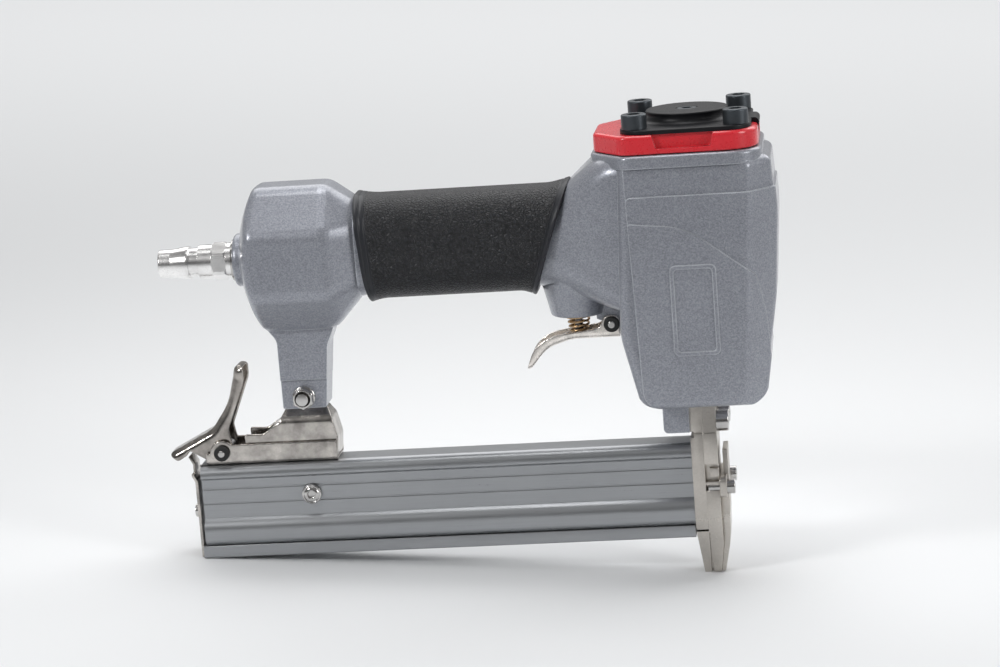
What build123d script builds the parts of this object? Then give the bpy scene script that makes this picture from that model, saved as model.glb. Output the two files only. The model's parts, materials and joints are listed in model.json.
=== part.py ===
from build123d import *
import os
from math import atan2, ceil, cos, degrees, pi, sin, sqrt

# Pneumatic brad nailer, in millimetres.
# It is drawn in the tool's own axes: the driver runs along x = y = 0, +X is forward,
# +Z is up along the driver, and the nose tip is at z = 0.
# At the end every piece is turned and moved together, so that the tool stands on its nose
# and on the foot of its magazine, with the origin under the middle of it.
# The corners of the trigger and the latch are given in X and Z from the pin that the piece turns on.

# Clearances
slide_gap = 0.3      # between pieces that slide or swing past each other
ring_gap = 0.15      # radial, between a seal and the bore that it runs in
pin_gap = 0.05       # radial, a pin in its hole
screw_gap = 0.1      # radial, a screw in its hole
skin_gap = 0.05      # between a sleeve and what it is stretched or pressed over

# Cutting tools
over = 1.0           # how far a cut runs past the face that it opens
far = 400.0          # longer than the tool, for cuts that go right through

# Brads and magazine
brad_slot = 1.7                # width of the slot that the brads stand in
brad_height = 30.0             # longest brad
brad_floor = 2.6               # foot left under the brads
nose_drop = 16.0               # nose tip below the magazine's foot
foot_height = 5.1
foot_half_width = 9.6
foot_edge = 0.8
rail_half_width = 4.8
rail_key_depth = 1.2
rail_key_height = 2.4
rail_key_rise = 4.6            # from the foot to the key
magazine_roof = 5.6
magazine_wall = 3.1
upper_bead_bulge = 1.2
upper_bead_height = 6.0
upper_bead_slope = 1.0
lower_bead_bulge = 2.8
lower_bead_height = 9.2
lower_bead_slope = 2.0
lower_bead_round = 6.0
lower_bead_chamfer = 2.0
magazine_shoulder = 4.2        # rounded upper edge of the magazine
side_groove_depth = 0.5
side_groove_width = 0.8
side_groove_drops = (9.8, 16.0)  # from the top of the magazine
magazine_overhang = 36.7       # rear end of the magazine behind the leg
pusher_length = 14.0
pusher_setback = 2.0
spring_bore_radius = 3.4
spring_bore_drop = 4.5         # axis below the top of the rail
guide_rod_radius = 1.0
pusher_wire = 0.6
pusher_turns = 26
end_plate_sheet = 1.2
end_plate_half_width = 8.0
end_plate_lift = 0.3           # its lower edge above the foot's underside
end_tab_half_width = 4.0
end_tab_height = 3.2           # above the magazine's top
end_tab_lean = 1.6
end_tab_shoulder = 3.2         # full width of the plate ends this far below the magazine's top
end_joggle = 1.2
end_joggle_drop = 6.5          # start of the joggle below the magazine's top
end_joggle_height = 2.4
end_screw_radius = 1.5
end_screw_head_radius = 2.7
end_screw_head_height = 1.8
end_screw_offset = 2.9
end_screw_rise = 19.0          # above the foot's underside
end_screw_length = 8.0
side_screw_radius = 2.0
side_screw_head_radius = 4.1
side_screw_head_height = 2.4
side_screw_drop = 13.4         # below the magazine's top

# Nose
lug_clear = 5.6                # cast lug above the magazine
lug_length = 10.4
lug_height = 13.8
lug_half_width = 12.0
lug_edge = 2.0
seat_plate_thickness = 5.0
seat_plate_lift = 19.4         # its lower edge above the tip
seat_step = 1.5
seat_step_height = 2.4
guide_thickness = 5.6
guide_rear_x = -1.2            # face between the seat plate and the guide
guide_half_width = 11.8
neck_half_width = 11.0
neck_height = 14.6             # upper, narrower stretch of the nose
tip_half_width = 5.0
taper_height = 24.0            # the nose narrows below this
tip_back = 5.0                 # rear heel of the tip behind the guide's rear face
tip_heel_drop = 0.8            # gap between the heel and the seat plate
tip_heel_cut = 2.2
tip_front_cut = 1.6
tip_front_cut_height = 13.0
seam_width = 0.35              # groove down each side of the tip, in line with the guide's rear face
seam_depth = 0.4
seam_end = 0.6                 # left whole above the seam
exit_notch_width = 0.8         # the groove widens at the tip
exit_notch_depth = 1.2
exit_notch_height = 4.0
pocket_height = 7.2
pocket_depth = 2.5
pocket_rise = 39.6
stop_block_size = 3.6
stop_block_inset = 0.6
cover_thickness = 3.6
cover_leaf = 2.0
cover_leaf_root = 2.0          # the leaf leaves the guide this far above the cover screws
cover_top_z = 51.5
cover_leaf_half_width = 7.0
cover_half_width = 8.0
cover_tip_half_width = 4.4
cover_shin_z = 11.5
cover_shin_setback = 1.2
cover_knee_z = 17.8
cover_knee_setback = 0.5
ear_half_width = 13.0
ear_half_height = 4.4
ear_thickness = 2.9
ear_corner = 2.4
cover_screw_radius = 2.0
cover_screw_head_radius = 3.0
cover_screw_head_height = 3.2
cover_screw_offset = 10.0
cover_screw_z = 37.0
cover_screw_land = 1.0         # of the guide left behind the cover screws
nose_screw_radius = 2.5
nose_screw_head_radius = 4.25
nose_screw_head_height = 5.0
nose_screw_offset = 7.6
nose_screw_drop = 10.4         # below the underside of the head
nose_screw_length = 18.0

# Driver and cylinder
stroke = 52.0
blade_reach = 0.5              # the blade passes the nose tip by this
blade_thickness = 1.2
blade_width = 2.0
blade_gap = 0.15
blade_root = 6.0               # length of the blade inside the piston
head_floor = 5.0
bumper_height = 12.0
bumper_hole_radius = 4.0
bumper_edge = 2.0
bumper_gap = 0.5               # between bumper and piston at the end of the stroke
piston_height = 9.0
cylinder_radius = 15.0
sleeve_wall = 2.5
sleeve_headroom = 4.5
sleeve_seat_depth = 8.0
sleeve_port_radius = 1.5
sleeve_ports = 6
sleeve_port_rise = 24.0
collar_rise = 40.0             # above the bumper's seat
collar_height = 5.0
collar_shoulder = 2.0
seal_wire = 1.8
driver_hole_radius = 3.2

# Head valve, cap and exhaust
valve_seal_thickness = 2.0
valve_seal_band = 6.5          # width of the ring-shaped seal
valve_seal_inset = 0.5
valve_disc_height = 8.0
valve_disc_gap = 0.55          # radial, in the cap's skirt
valve_stem_radius = 5.5
valve_stem_height = 7.0
valve_room = 8.2               # from the disc's top to the seat of the cap
valve_spring_radius = 9.0
valve_spring_wire = 1.4
valve_spring_turns = 4
valve_spring_gap = 0.2         # at each end
gasket = 0.3
gasket_inset = 0.6             # behind the edge of the cap
cap_height = 7.6
cap_roof = 2.8
cap_skirt_wall = 3.8
cap_front_x = 28.0
cap_rear_x = -37.0
cap_half_width = 28.0
cap_rear_half_width = 12.0
cap_rear_shoulder_x = -25.0
cap_rear_corner = 6.0
cap_front_corner = 13.0
cap_top_edge = 1.6
cap_low_edge = 0.6
cap_recess_half = 12.2
cap_recess_x = -1.0
cap_recess_depth = 2.8
cap_recess_rise = 2.0
cap_recess_corner = 1.0
cap_recess_draft = 1.6
cap_notch_half_width = 8.5
cap_notch_depth = 3.2
exhaust_port_radius = 2.4
exhaust_port_circle = 9.5
exhaust_ports = 4
exhaust_sheet = 1.8
exhaust_edge = 0.6
exhaust_margin = 1.2           # of the cap left beside the plate
exhaust_front_margin = 2.4
exhaust_rear_x = -25.6
exhaust_corner = 9.5
drum_radius = 16.0             # at its waist
drum_cove = 2.6                # hollow round its side
drum_height = 4.4
drum_wall = 1.8
drum_edge = 0.5
drum_stud_wall = 2.4
spout_half_width = 8.0
spout_root = 3.0
spout_drop = 5.4
spout_lean = 0.6
spout_reach = 3.2
spout_sheet = 1.9
cap_screw_circle = 28.0        # radius of the circle that the four cap screws stand on
cap_screw_wall = 1.0           # between the screws and the chamber
cap_screw_radius = 3.0
cap_screw_head_radius = 5.0
cap_screw_head_height = 5.8
cap_screw_length = 24.0
cap_screw_socket = 5.0         # across flats
drum_screw_radius = 2.0
drum_screw_head_radius = 4.2
drum_screw_head_height = 1.6
drum_screw_socket = 4.0
drum_screw_reach = 2.4         # of the drum screw into the cap

# Head casting
head_front_x = 33.5            # foremost line of the head, above its panel
head_front_drop = 25.0         # that line below the seat of the cap
head_brow = 3.4                # the head's shoulder below the seat of the cap
head_brow_setback = 1.2
head_cheek_rise = 42.0         # bend of the front above the head's underside
head_cheek_setback = 2.4
head_chin_setback = 9.2
head_rear_x = -27.0
head_back_bulge = 3.4
head_back_rise = 30.0
head_heel_setback = 3.4
head_half_width = 28.8
head_edge = 4.0
head_facet_length = 8.5        # flat that takes the head's front corners off, along X
head_facet_depth = 9.0         # and along Y
head_trim = 0.2                # the head's rounded underside is cut this far outside its faces
head_top_edge = 3.4            # rounding of the shoulder
head_low_corner = 8.0
head_front_sweep = 60.0
head_back_sweep = 30.0
flange_step = 1.4              # the flange under the cap stands out round it by this
flange_height = 5.0
panel_step = 0.7
panel_rear_x = -25.0           # rear edge of the flanks, at the cap
panel_rear_lean = 2.8          # that edge comes forward by this towards the nose
panel_overrun = 12.0           # the flanks' block reaches back past that edge
panel_front_x = 25.0
panel_drop = 16.2              # upper edge of the raised panel below the cap's seat
panel_corner = 2.0
sweep_low_reach = 4.2          # the swept panel's front edge, from the plain panel's
sweep_knee_reach = 2.6
sweep_knee_drop = 50.0
sweep_crest_setback = 0.4
sweep_crest_drop = 33.0
sweep_bend_x = -2.0
sweep_bend_drop = 12.5
sweep_rear_drop = 10.2
sweep_radii = (20.0, 7.0, 30.0, 1.0)
label_frame_half_width = 9.0
label_frame_half_height = 18.0
label_frame_rim = 1.4
label_frame_step = 0.5
label_frame_drop = 45.5        # its middle below the panel's upper edge
label_frame_corner = 2.2

# Handle and grip
handle_drop = 34.2             # handle's axis below the seat of the cap
handle_half_width = 15.4
handle_half_height = 18.3
handle_wall = 2.8
handle_round = 0.8             # share of a section's half width that its corners take
grip_wall = 2.6
grip_flare = 1.4
grip_front_flare = 2.24
grip_flare_length = 8.0
grip_front_x = -56.3
grip_front_slant = 14.6
grip_front_lead = 9.3
grip_length = 76.9
grip_rear_slant = 3.7
grip_seat = 6.0                # the handle's plain stretch starts this far inside the grip
neck_rear_setback = 15.7       # the neck starts to widen this far inside the grip
neck_mid_lead = 5.3
neck_mid_spread = 2.2
neck_mid_drop = 4.2
neck_mid_rise = 1.8
neck_top_setback = 0.6         # behind the rear of the cap
neck_top_spread = 6.8
neck_top_drop = 8.4
neck_top_gap = 3.4             # below the seat of the cap
neck_top_round = 0.45
neck_front_lead = 3.0          # ahead of the head's rear
neck_front_spread = 10.4
neck_front_drop = 12.0
neck_front_gap = 2.8
neck_front_round = 0.26
rear_collar_setback = 1.6      # narrow collar of the casting behind the grip
rear_collar_spread = 1.4

# Tail and leg
cone_length = 12.8             # from the grip to the bell
bell_length = 38.0
bell_half_width = 24.0
bell_half_height = 29.5
bell_drop = 2.2                # bell's axis below the handle's axis
bell_cut = 14.0                # the bell's eight-sided section: its slanting sides, along Y
bell_cut_high = 17.5           # the upper ones along Z
bell_cut_low = 16.0            # the lower ones along Z
bell_round = 8.0
bell_wall = 4.0
bell_edge = 4.0
bell_crease = 2.6              # length along X, each way, of the bend where the bell meets its cone
bell_crease_steps = 3          # flats along that bend
cone_ledge = 0.2               # the cone's end inside the handle's collar
cone_flat = 0.15               # flat left between the two arcs of each of its corners there
tail_dome_radius = 58.0
tail_dome_room = 6.0           # of the bell's blank behind the dome
inlet_drop = 3.0               # inlet's axis below the handle's axis
inlet_boss_length = 2.4
inlet_boss_edge = 1.6
inlet_wall = 2.2
leg_setback = 7.4              # leg's front behind the front of the bell
leg_length = 17.9
leg_half_width = 8.0
leg_root_sink = 4.0            # of the leg into the bell
leg_rear_spread = 6.0
leg_rear_spread_height = 8.0
leg_rear_sweep = 6.0
leg_front_flare = 2.6
leg_front_spread_height = 11.0
leg_front_sweep = 8.0
leg_edge = 0.8
leg_land_depth = 1.0
leg_land_height = 12.0
leg_clear = 0.4                # leg's end above the neck of the bracket
leg_bolt_rise = 4.6
leg_bolt_radius = 2.5
leg_bolt_head_radius = 4.25
leg_bolt_head_height = 4.6
leg_nut_flats = 8.0
leg_nut_height = 4.2
leg_nut_chamfer = 0.5
leg_bolt_tail = 1.2

# Air inlet, from the tail outwards
bush_wall = 2.55
bush_flange_inset = 0.2
bush_flange_length = 1.0
bush_length = 13.0
plug_thread_radius = 5.9
plug_thread_length = 9.0
plug_ring_radius = 7.3
plug_ring_length = 2.2
plug_hex = 14.0                # across flats
plug_hex_length = 6.0
plug_hex_chamfer = 0.7
plug_collar_radius = 7.0
plug_collar_length = 5.6
plug_groove_radius = 5.9
plug_groove_length = 3.4
plug_bulge_radius = 6.8
plug_bulge_length = 1.6
plug_taper_length = 6.6
plug_nose_radius = 5.8
plug_nose_length = 5.2
plug_nose_edge = 0.6
plug_bore_radius = 3.6

# Trigger and its valve
valve_body_radius = 7.4
valve_body_height = 21.8
valve_seal_rise = 5.0          # of each seal from the nearer end of the valve body
valve_wire = 1.6
stem_radius = 1.6
stem_tip = 0.9
stem_head_radius = 4.0
stem_head_height = 3.0
boss_wall = 3.4
boss_drop = 32.3               # boss's lower face below the handle's axis
boss_edge = 1.0
boss_draft = 3.2               # wider at the handle than at its lower face
trigger_pin_setback = 8.0      # behind the head's rear
trigger_pin_drop = 36.2        # below the handle's axis
trigger_pin_radius = 1.5
trigger_stem_arm = 13.7        # from the pin back to the valve's axis
trigger_half_width = 6.0
trigger_sheet = 1.4
trigger_room = 6.0             # height of the cut that opens the trigger upwards
trigger_nose_low_x = 3.0
trigger_nose_low_z = -5.9
trigger_bend_low_x = -17.0
trigger_bend_low_z = -5.9
trigger_curl_low_x = -26.8
trigger_curl_low_z = -8.9
trigger_tip_low_x = -34.2
trigger_tip_low_z = -17.5
trigger_tip_high_x = -35.4
trigger_tip_high_z = -16.9
trigger_curl_high_x = -31.6
trigger_curl_high_z = -6.9
trigger_bend_high_x = -22.8
trigger_bend_high_z = -3.7
trigger_wall_low_x = -5.0
trigger_wall_low_z = -1.5
trigger_wall_top_x = -3.0
trigger_wall_top_z = 3.5
trigger_nose_top_x = 3.0
trigger_nose_top_z = 3.5
trigger_edge = 0.8
trigger_bend_sweep = 18.0
trigger_curl_sweep = 12.0
trigger_tip_round = 0.4
trigger_curl_inner_sweep = 13.0
trigger_bend_inner_sweep = 14.0
trigger_wall_sweep = 3.0
trigger_wall_round = 2.6
pin_lug_gap = 0.4
pin_lug_radius = 3.9
pin_lug_setback = 6.0
pin_lug_rear_drop = 2.0
pin_lug_front_drop = 8.0
pin_lug_rise = 14.0
pin_lug_sink = 3.0
ring_width = 2.0
ring_radius = 3.2
ring_edge = 0.7
pin_tail = 0.4                 # of a pin past its retaining ring
trigger_spring_wire = 0.9
trigger_spring_turns = 4
trigger_spring_top_radius = 4.5
trigger_spring_low_radius = 3.5

# Bracket and latch
channel_sheet = 1.2
channel_half_width = 8.7
channel_height = 8.6
channel_rear_setback = 3.0     # from the magazine's rear end
channel_lead = 2.8             # channel's front ahead of the leg's front
channel_ear_radius = 5.0
channel_screw_radius = 1.6
channel_screw_head_radius = 3.0
channel_screw_head_height = 1.6
channel_screw_length = 5.0
channel_screw_inset = 7.0      # from each end of the post
post_sheet = 1.3
post_length = 38.0
post_gap = 0.5                 # at each side, in the channel
post_waist_height = 17.4       # above the magazine's top
post_flare_height = 4.4
post_fold = 4.0                # rounding of the fold above the waist
post_front_bulge = 0.8
post_front_bulge_rise = 8.0
post_front_shoulder = 2.0
post_rear_shoulder = 3.0
post_rear_shoulder_drop = 0.6
post_tail_setback = 10.0
post_tail_rise = 10.8
post_tail_end_rise = 11.2
post_roof = 2.4
post_tongue_half_width = 3.0
post_tongue_height = 14.0      # inside the leg
post_neck_inset = 0.3          # narrower than the leg along X, below it
post_tongue_inset = 3.0        # narrower than the leg along X, inside it
latch_pin_setback = 9.9        # from the magazine's rear end
latch_pin_rise = 5.4           # above the magazine's top
latch_pin_radius = 1.4
latch_side_gap = 1.1           # at each side, in the channel
latch_sheet = 1.2
latch_hollow_x = 1.08          # the hollow inside the lever lies this far forward
latch_hollow_z = 0.96          # and this far down
latch_hollow_far = 6           # times that move, for the cut that opens it below
latch_tail_x = -23.1
latch_tail_z = -0.4
latch_back_x = -4.0
latch_back_z = 9.2
latch_spine_x = 3.6
latch_spine_z = 20.0
latch_nape_x = 6.8
latch_nape_z = 31.6
latch_crown_rear_x = 7.4
latch_crown_z = 35.4
latch_crown_front_x = 11.2
latch_thumb_x = 11.2
latch_thumb_z = 29.0
latch_waist_x = 3.0
latch_waist_z = 9.0
latch_shoulder_x = 4.4
latch_shoulder_z = 1.5
latch_heel_x = 3.4
latch_heel_z = -3.5
latch_belly_x = -6.8
latch_throat_x = -14.0
latch_throat_z = 0.9
latch_hook_x = -15.5
latch_hook_z = -1.2
latch_hook_tip_x = -19.4
latch_hook_tip_z = -3.4
latch_edge = 0.8
latch_back_sweep = 10.0
latch_spine_sweep = 26.0
latch_nape_sweep = 6.0
latch_crown_round = 2.0
latch_thumb_sweep = 8.0
latch_waist_sweep = 4.0
latch_heel_round = 3.2
latch_belly_round = 2.4
latch_hook_edge = 0.6
latch_hook_tip_round = 1.2
latch_spring_wire = 0.9
latch_spring_turns = 4.25
latch_spring_leg = 10.6        # of the leg under the lever
latch_spring_radius = 3.3
latch_spring_room = 1.6        # beside the coil, inside the lever

# Sizes and places that follow from those above
foot_top_z = nose_drop + foot_height
magazine_low_z = foot_top_z + slide_gap
rail_top_z = nose_drop + brad_floor + brad_height
brad_low_z = nose_drop + brad_floor
magazine_top_z = rail_top_z + magazine_roof + 2 * slide_gap
magazine_half_width = rail_half_width + slide_gap + magazine_wall
spring_axis_z = rail_top_z - spring_bore_drop
nose_length = magazine_top_z + lug_clear + lug_height
bumper_z = nose_length + head_floor
piston_low_z = bumper_z + bumper_height + bumper_gap + stroke
piston_top_z = piston_low_z + piston_height
sleeve_top_z = piston_top_z + sleeve_headroom
sleeve_radius = cylinder_radius + sleeve_wall
collar_z = bumper_z + collar_rise
valve_low_z = sleeve_top_z + slide_gap
disc_low_z = valve_low_z + valve_seal_thickness
disc_top_z = disc_low_z + valve_disc_height
head_top_z = disc_top_z + valve_room
cap_low_z = head_top_z + gasket
cap_top_z = cap_low_z + cap_height
cap_ceiling_z = cap_top_z - cap_roof
plate_top_z = cap_top_z + exhaust_sheet
drum_top_z = plate_top_z + drum_height
chamber_radius = cap_screw_circle - cap_screw_radius - cap_screw_wall
skirt_radius = chamber_radius - ring_gap
valve_disc_radius = skirt_radius - cap_skirt_wall - valve_disc_gap
cap_screw_offset = cap_screw_circle / sqrt(2)
exhaust_front_x = cap_front_x - exhaust_front_margin
exhaust_half_width = cap_half_width - exhaust_margin
panel_top_z = head_top_z - panel_drop
label_frame_z = panel_top_z - label_frame_drop
handle_z = head_top_z - handle_drop
handle_bore_radius = handle_half_width - handle_wall
grip_rear_x = grip_front_x - grip_length
bell_front_x = grip_rear_x - cone_length
tail_rear_x = bell_front_x - bell_length
bell_z = handle_z - bell_drop
inlet_z = handle_z - inlet_drop
inlet_radius = plug_thread_radius + screw_gap + bush_wall + skin_gap
inlet_boss_radius = inlet_radius + inlet_wall
bush_start_x = tail_rear_x - inlet_boss_length
plug_face_x = bush_start_x - bush_flange_length
neck_rear_x = grip_front_x - neck_rear_setback
neck_mid_x = grip_front_x + neck_mid_lead
neck_top_x = cap_rear_x - neck_top_setback
neck_front_x = head_rear_x + neck_front_lead
boss_radius = valve_body_radius + boss_wall
boss_low_z = handle_z - boss_drop
trigger_pin_x = head_rear_x - trigger_pin_setback
trigger_pin_z = handle_z - trigger_pin_drop
trigger_valve_x = trigger_pin_x - trigger_stem_arm
trigger_web_top_z = trigger_pin_z + trigger_nose_low_z + trigger_sheet
pin_lug_half_width = trigger_half_width - trigger_sheet - pin_lug_gap
leg_front_x = bell_front_x - leg_setback
leg_rear_x = leg_front_x - leg_length
leg_low_z = magazine_top_z + post_waist_height + post_flare_height + leg_clear
leg_land_y = leg_half_width - leg_land_depth
leg_bolt_x = (leg_front_x + leg_rear_x) / 2
leg_bolt_z = leg_low_z + leg_bolt_rise
magazine_rear_x = leg_rear_x - magazine_overhang
channel_front_x = leg_front_x + channel_lead
channel_inner = channel_half_width - channel_sheet
post_rear_x = channel_front_x - post_length
post_half_width = channel_inner - post_gap
channel_screws_x = (post_rear_x + channel_screw_inset, channel_front_x - channel_screw_inset)
side_screw_x = leg_bolt_x
latch_pin_x = magazine_rear_x + latch_pin_setback
latch_pin_z = magazine_top_z + latch_pin_rise
latch_half_width = channel_inner - latch_side_gap
guide_front_x = guide_rear_x + guide_thickness
seat_rear_x = guide_rear_x - seat_plate_thickness
neck_low_z = nose_length - neck_height
nose_screw_z = nose_length - nose_screw_drop
cover_front_x = guide_front_x + cover_thickness
heel_x = guide_rear_x - tip_back + tip_heel_cut
end_face_x = magazine_rear_x - end_joggle - slide_gap
rail_front_x = seat_rear_x - slide_gap
pusher_front_x = rail_front_x - pusher_setback
pusher_rear_x = pusher_front_x - pusher_length
on_base = (Align.CENTER, Align.CENTER, Align.MIN)
cap_screws_at = [(x, y) for x in (-cap_screw_offset, cap_screw_offset)
                 for y in (-cap_screw_offset, cap_screw_offset)]


# Small builders

def box(x0, x1, y0, y1, z0, z1):
    middle = Pos((x0 + x1) / 2, (y0 + y1) / 2, (z0 + z1) / 2)
    return middle * Box(x1 - x0, y1 - y0, z1 - z0)


def rod_x(radius, x0, x1, y, z):
    return Pos((x0 + x1) / 2, y, z) * Rot(0, 90, 0) * Cylinder(radius, x1 - x0)


def rod_y(radius, y0, y1, x, z):
    return Pos(x, (y0 + y1) / 2, z) * Rot(90, 0, 0) * Cylinder(radius, y1 - y0)


def rod_z(radius, z0, z1, x=0.0, y=0.0):
    return Pos(x, y, (z0 + z1) / 2) * Cylinder(radius, z1 - z0)


def side_plate(points, half_width, radius=0.0):
    # An outline in X and Z, given its thickness both ways along Y.
    outline = FilletPolyline(*points, radius=radius, close=True)
    return extrude(Plane.XZ * make_face(outline), amount=half_width, both=True)


def front_plate(points, x0, x1, radius=0.0):
    # An outline in Y and Z, given its thickness along X.
    outline = FilletPolyline(*points, radius=radius, close=True)
    plane = Plane(origin=(x0, 0, 0), x_dir=(0, 1, 0), z_dir=(1, 0, 0))
    return extrude(plane * make_face(outline), amount=x1 - x0)


def top_plate(points, z0, z1, radius=0.0):
    # An outline in X and Y, given its thickness along Z.
    outline = FilletPolyline(*points, radius=radius, close=True)
    return Pos(0, 0, z0) * extrude(make_face(outline), amount=z1 - z0)


def mirrored(points):
    # Half of an outline, from one end of its middle line to the other, with its mirror image.
    return list(points) + [(-a, b) for a, b in reversed(points)]


def about(pin_x, pin_z, points):
    # Points given from a pin, in the tool's axes.
    return [(pin_x + x, pin_z + z) for x, z in points]


def both_sides(shape):
    return shape + mirror(shape, Plane.XZ)


def seal(outer_radius, z, wire=seal_wire):
    return Pos(0, 0, z) * Torus(outer_radius - wire / 2, wire / 2)


def outer_groove(radius, z, wire=seal_wire):
    # Groove in a shaft of this radius, for a seal that stands level with it.
    width = wire + 2 * ring_gap
    ring = rod_z(radius + over, z - width / 2, z + width / 2)
    return ring - rod_z(radius - wire - ring_gap, z - width, z + width)


def hexagon(flats, length):
    return extrude(RegularPolygon(flats / 2, 6, major_radius=False), amount=length)


def socket_screw(radius, head_radius, head_height, length, socket):
    # The head stands on z = 0 and the shank points down.
    head = rod_z(head_radius, 0, head_height)
    rim = head.edges().group_by(Axis.Z)[-1]
    head = fillet(rim, min(0.12 * head_radius, head_height / 3))
    shank = rod_z(radius, -length, 0)
    depth = 0.55 * head_height
    return head + shank - Pos(0, 0, head_height - depth) * hexagon(socket, depth)


def small_socket(radius):
    # Hexagon of a small screw, across flats, from the radius of its shank.
    return 1.6 * radius


def facing(x, y, z, direction):
    # Place that turns a screw's head towards a direction.
    return Plane(origin=(x, y, z), z_dir=direction).location


def section(x, half_width, z_low, z_high, radius_low, radius_high):
    # Rounded section of the casting, square to X.
    points = [(-half_width, z_low), (half_width, z_low), (half_width, z_high), (-half_width, z_high)]
    outline = FilletPolyline(*points, radius=[radius_low, radius_low, radius_high, radius_high], close=True)
    plane = Plane(origin=(x, 0, 0), x_dir=(0, 1, 0), z_dir=(1, 0, 0))
    return plane * make_face(outline)


def eight_sided(x, half_width, z_low, z_high, cut, cut_low, cut_high, radius):
    # Rounded section with slanting sides between its flanks and its top and bottom, square to X.
    half = [(half_width - cut, z_low), (half_width, z_low + cut_low), (half_width, z_high - cut_high),
            (half_width - cut, z_high)]
    outline = FilletPolyline(*mirrored(half), radius=radius, close=True)
    plane = Plane(origin=(x, 0, 0), x_dir=(0, 1, 0), z_dir=(1, 0, 0))
    return plane * make_face(outline)


# Coil springs: one wire along quarter turns, each drawn as two tangent arcs

def biarc(start, start_way, end, end_way):
    chord = end - start
    both = start_way + end_way
    spread = 2 * (1 - start_way.dot(end_way))
    along = chord.dot(both)
    reach = (sqrt(along * along + spread * chord.dot(chord)) - along) / spread
    middle = (start + end + (start_way - end_way) * reach) / 2
    middle_way = (end - end_way * reach - start - start_way * reach).normalized()
    return [TangentArc(start, middle, tangent=start_way), TangentArc(middle, end, tangent=middle_way)]


def coil_point(share, radius_start, radius_end, height, turns):
    angle = 2 * pi * turns * share
    radius = radius_start + (radius_end - radius_start) * share
    return Vector(radius * cos(angle), radius * sin(angle), height * share)


def coil_way(share, radius_start, radius_end, height, turns):
    angle = 2 * pi * turns * share
    growth = radius_end - radius_start
    turn = 2 * pi * turns * (radius_start + growth * share)
    way = Vector(growth * cos(angle) - turn * sin(angle), growth * sin(angle) + turn * cos(angle), height)
    return way.normalized()


def print_coil_gap(name, wire, radius_start, radius_end, height, turns):
    # Least gap between the wire and itself, on points more than half a turn apart.
    per_turn = 24
    count = ceil(per_turn * turns)
    line = [coil_point(i / count, radius_start, radius_end, height, turns) for i in range(count + 1)]
    gaps = [(line[i] - line[j]).length for i in range(count + 1) for j in range(i + per_turn // 2, count + 1)]
    print(name, "least gap between turns", round(min(gaps) - wire, 2), "mm")


def coil(name, wire, radius_start, radius_end, height, turns, lead=None, tail=None):
    # Coil about +Z from z = 0, with straight legs of these lengths where they are given.
    print_coil_gap(name, wire, radius_start, radius_end, height, turns)
    shape = (radius_start, radius_end, height, turns)
    quarters = ceil(4 * turns)
    points = [coil_point(i / quarters, *shape) for i in range(quarters + 1)]
    ways = [coil_way(i / quarters, *shape) for i in range(quarters + 1)]
    edges = []
    begin = points[0]
    if lead:
        begin = points[0] - ways[0] * lead
        edges.append(Line(begin, points[0]))
    for i in range(quarters):
        edges += biarc(points[i], ways[i], points[i + 1], ways[i + 1])
    if tail:
        edges.append(Line(points[-1], points[-1] + ways[-1] * tail))
    ring = Plane(origin=begin, z_dir=ways[0]) * Circle(wire / 2)
    return sweep(ring, path=Wire(edges))


# Body casting

def corner_wedge(front_x, half_width):
    # Wedge that takes one front corner off the head, leaning as its front does.
    start_x = front_x - head_chin_setback - head_facet_length
    end_x = start_x + 2 * head_facet_length
    lean = Vector(head_chin_setback - head_brow_setback, 0, head_top_z - head_brow - nose_length)
    corner = Polyline((start_x - head_facet_length, half_width + head_facet_depth),
                      (end_x, half_width + head_facet_depth),
                      (end_x, half_width - 2 * head_facet_depth), close=True)
    wedge = extrude(make_face(corner), amount=lean.length + over, dir=lean, both=True)
    return Pos(0, 0, nose_length) * wedge


def head_block(grow=0.0, overrun=0.0):
    # Block of the head, made larger by grow at its front and flanks, and carried further back by overrun.
    # Its upright edges are rounded on a longer blank, which a rounded mould then trims at the bottom.
    front_x = head_front_x + grow
    rear_x = head_rear_x - overrun
    half_width = head_half_width + grow
    brow_z = head_top_z - head_brow
    cheek = (front_x - head_cheek_setback, nose_length + head_cheek_rise)
    back = (rear_x - head_back_bulge, nose_length + head_back_rise)
    front_draft = (head_chin_setback - head_cheek_setback) / head_cheek_rise
    rear_draft = (head_heel_setback + head_back_bulge) / head_back_rise
    heel_x = rear_x + head_heel_setback
    chin_x = front_x - head_chin_setback
    low_z = nose_length - head_low_corner
    outline = [(heel_x + rear_draft * head_low_corner, low_z),
               (chin_x - front_draft * head_low_corner, low_z), cheek,
               (front_x, head_top_z - head_front_drop), (front_x - head_brow_setback, brow_z),
               (rear_x, brow_z), back]
    blank = side_plate(outline, half_width, [0, 0, head_front_sweep, head_front_sweep, 0, 0, head_back_sweep])
    blank = blank - both_sides(corner_wedge(front_x, half_width))
    upright = [edge for edge in blank.edges() if low_z + over < edge.center().Z < brow_z - over
               and edge.bounding_box().size.Y < head_facet_depth]
    blank = fillet(upright, head_edge)
    mould = side_plate([(heel_x - head_trim, nose_length), (chin_x + head_trim, nose_length),
                        (cheek[0] + head_trim, cheek[1]), (front_x + head_low_corner, brow_z + over),
                        (back[0] - head_low_corner, brow_z + over), (back[0] - head_trim, back[1])],
                       half_width + head_trim, [head_low_corner, head_low_corner, 0, 0, 0, 0])
    flanks = [mould.faces().sort_by(Axis.Y)[0], mould.faces().sort_by(Axis.Y)[-1]]
    lower = [edge for face in flanks for edge in face.edges() if edge.center().Z < cheek[1] - over]
    mould = fillet(lower, head_edge)
    block = blank & mould
    return fillet(block.faces().sort_by(Axis.Z)[-1].edges(), head_top_edge)


def panel_rear(z):
    # Rear edge of the flanks at a height.
    brow_z = head_top_z - head_brow
    return panel_rear_x + panel_rear_lean * (brow_z - z) / (brow_z - nose_length)


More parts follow.
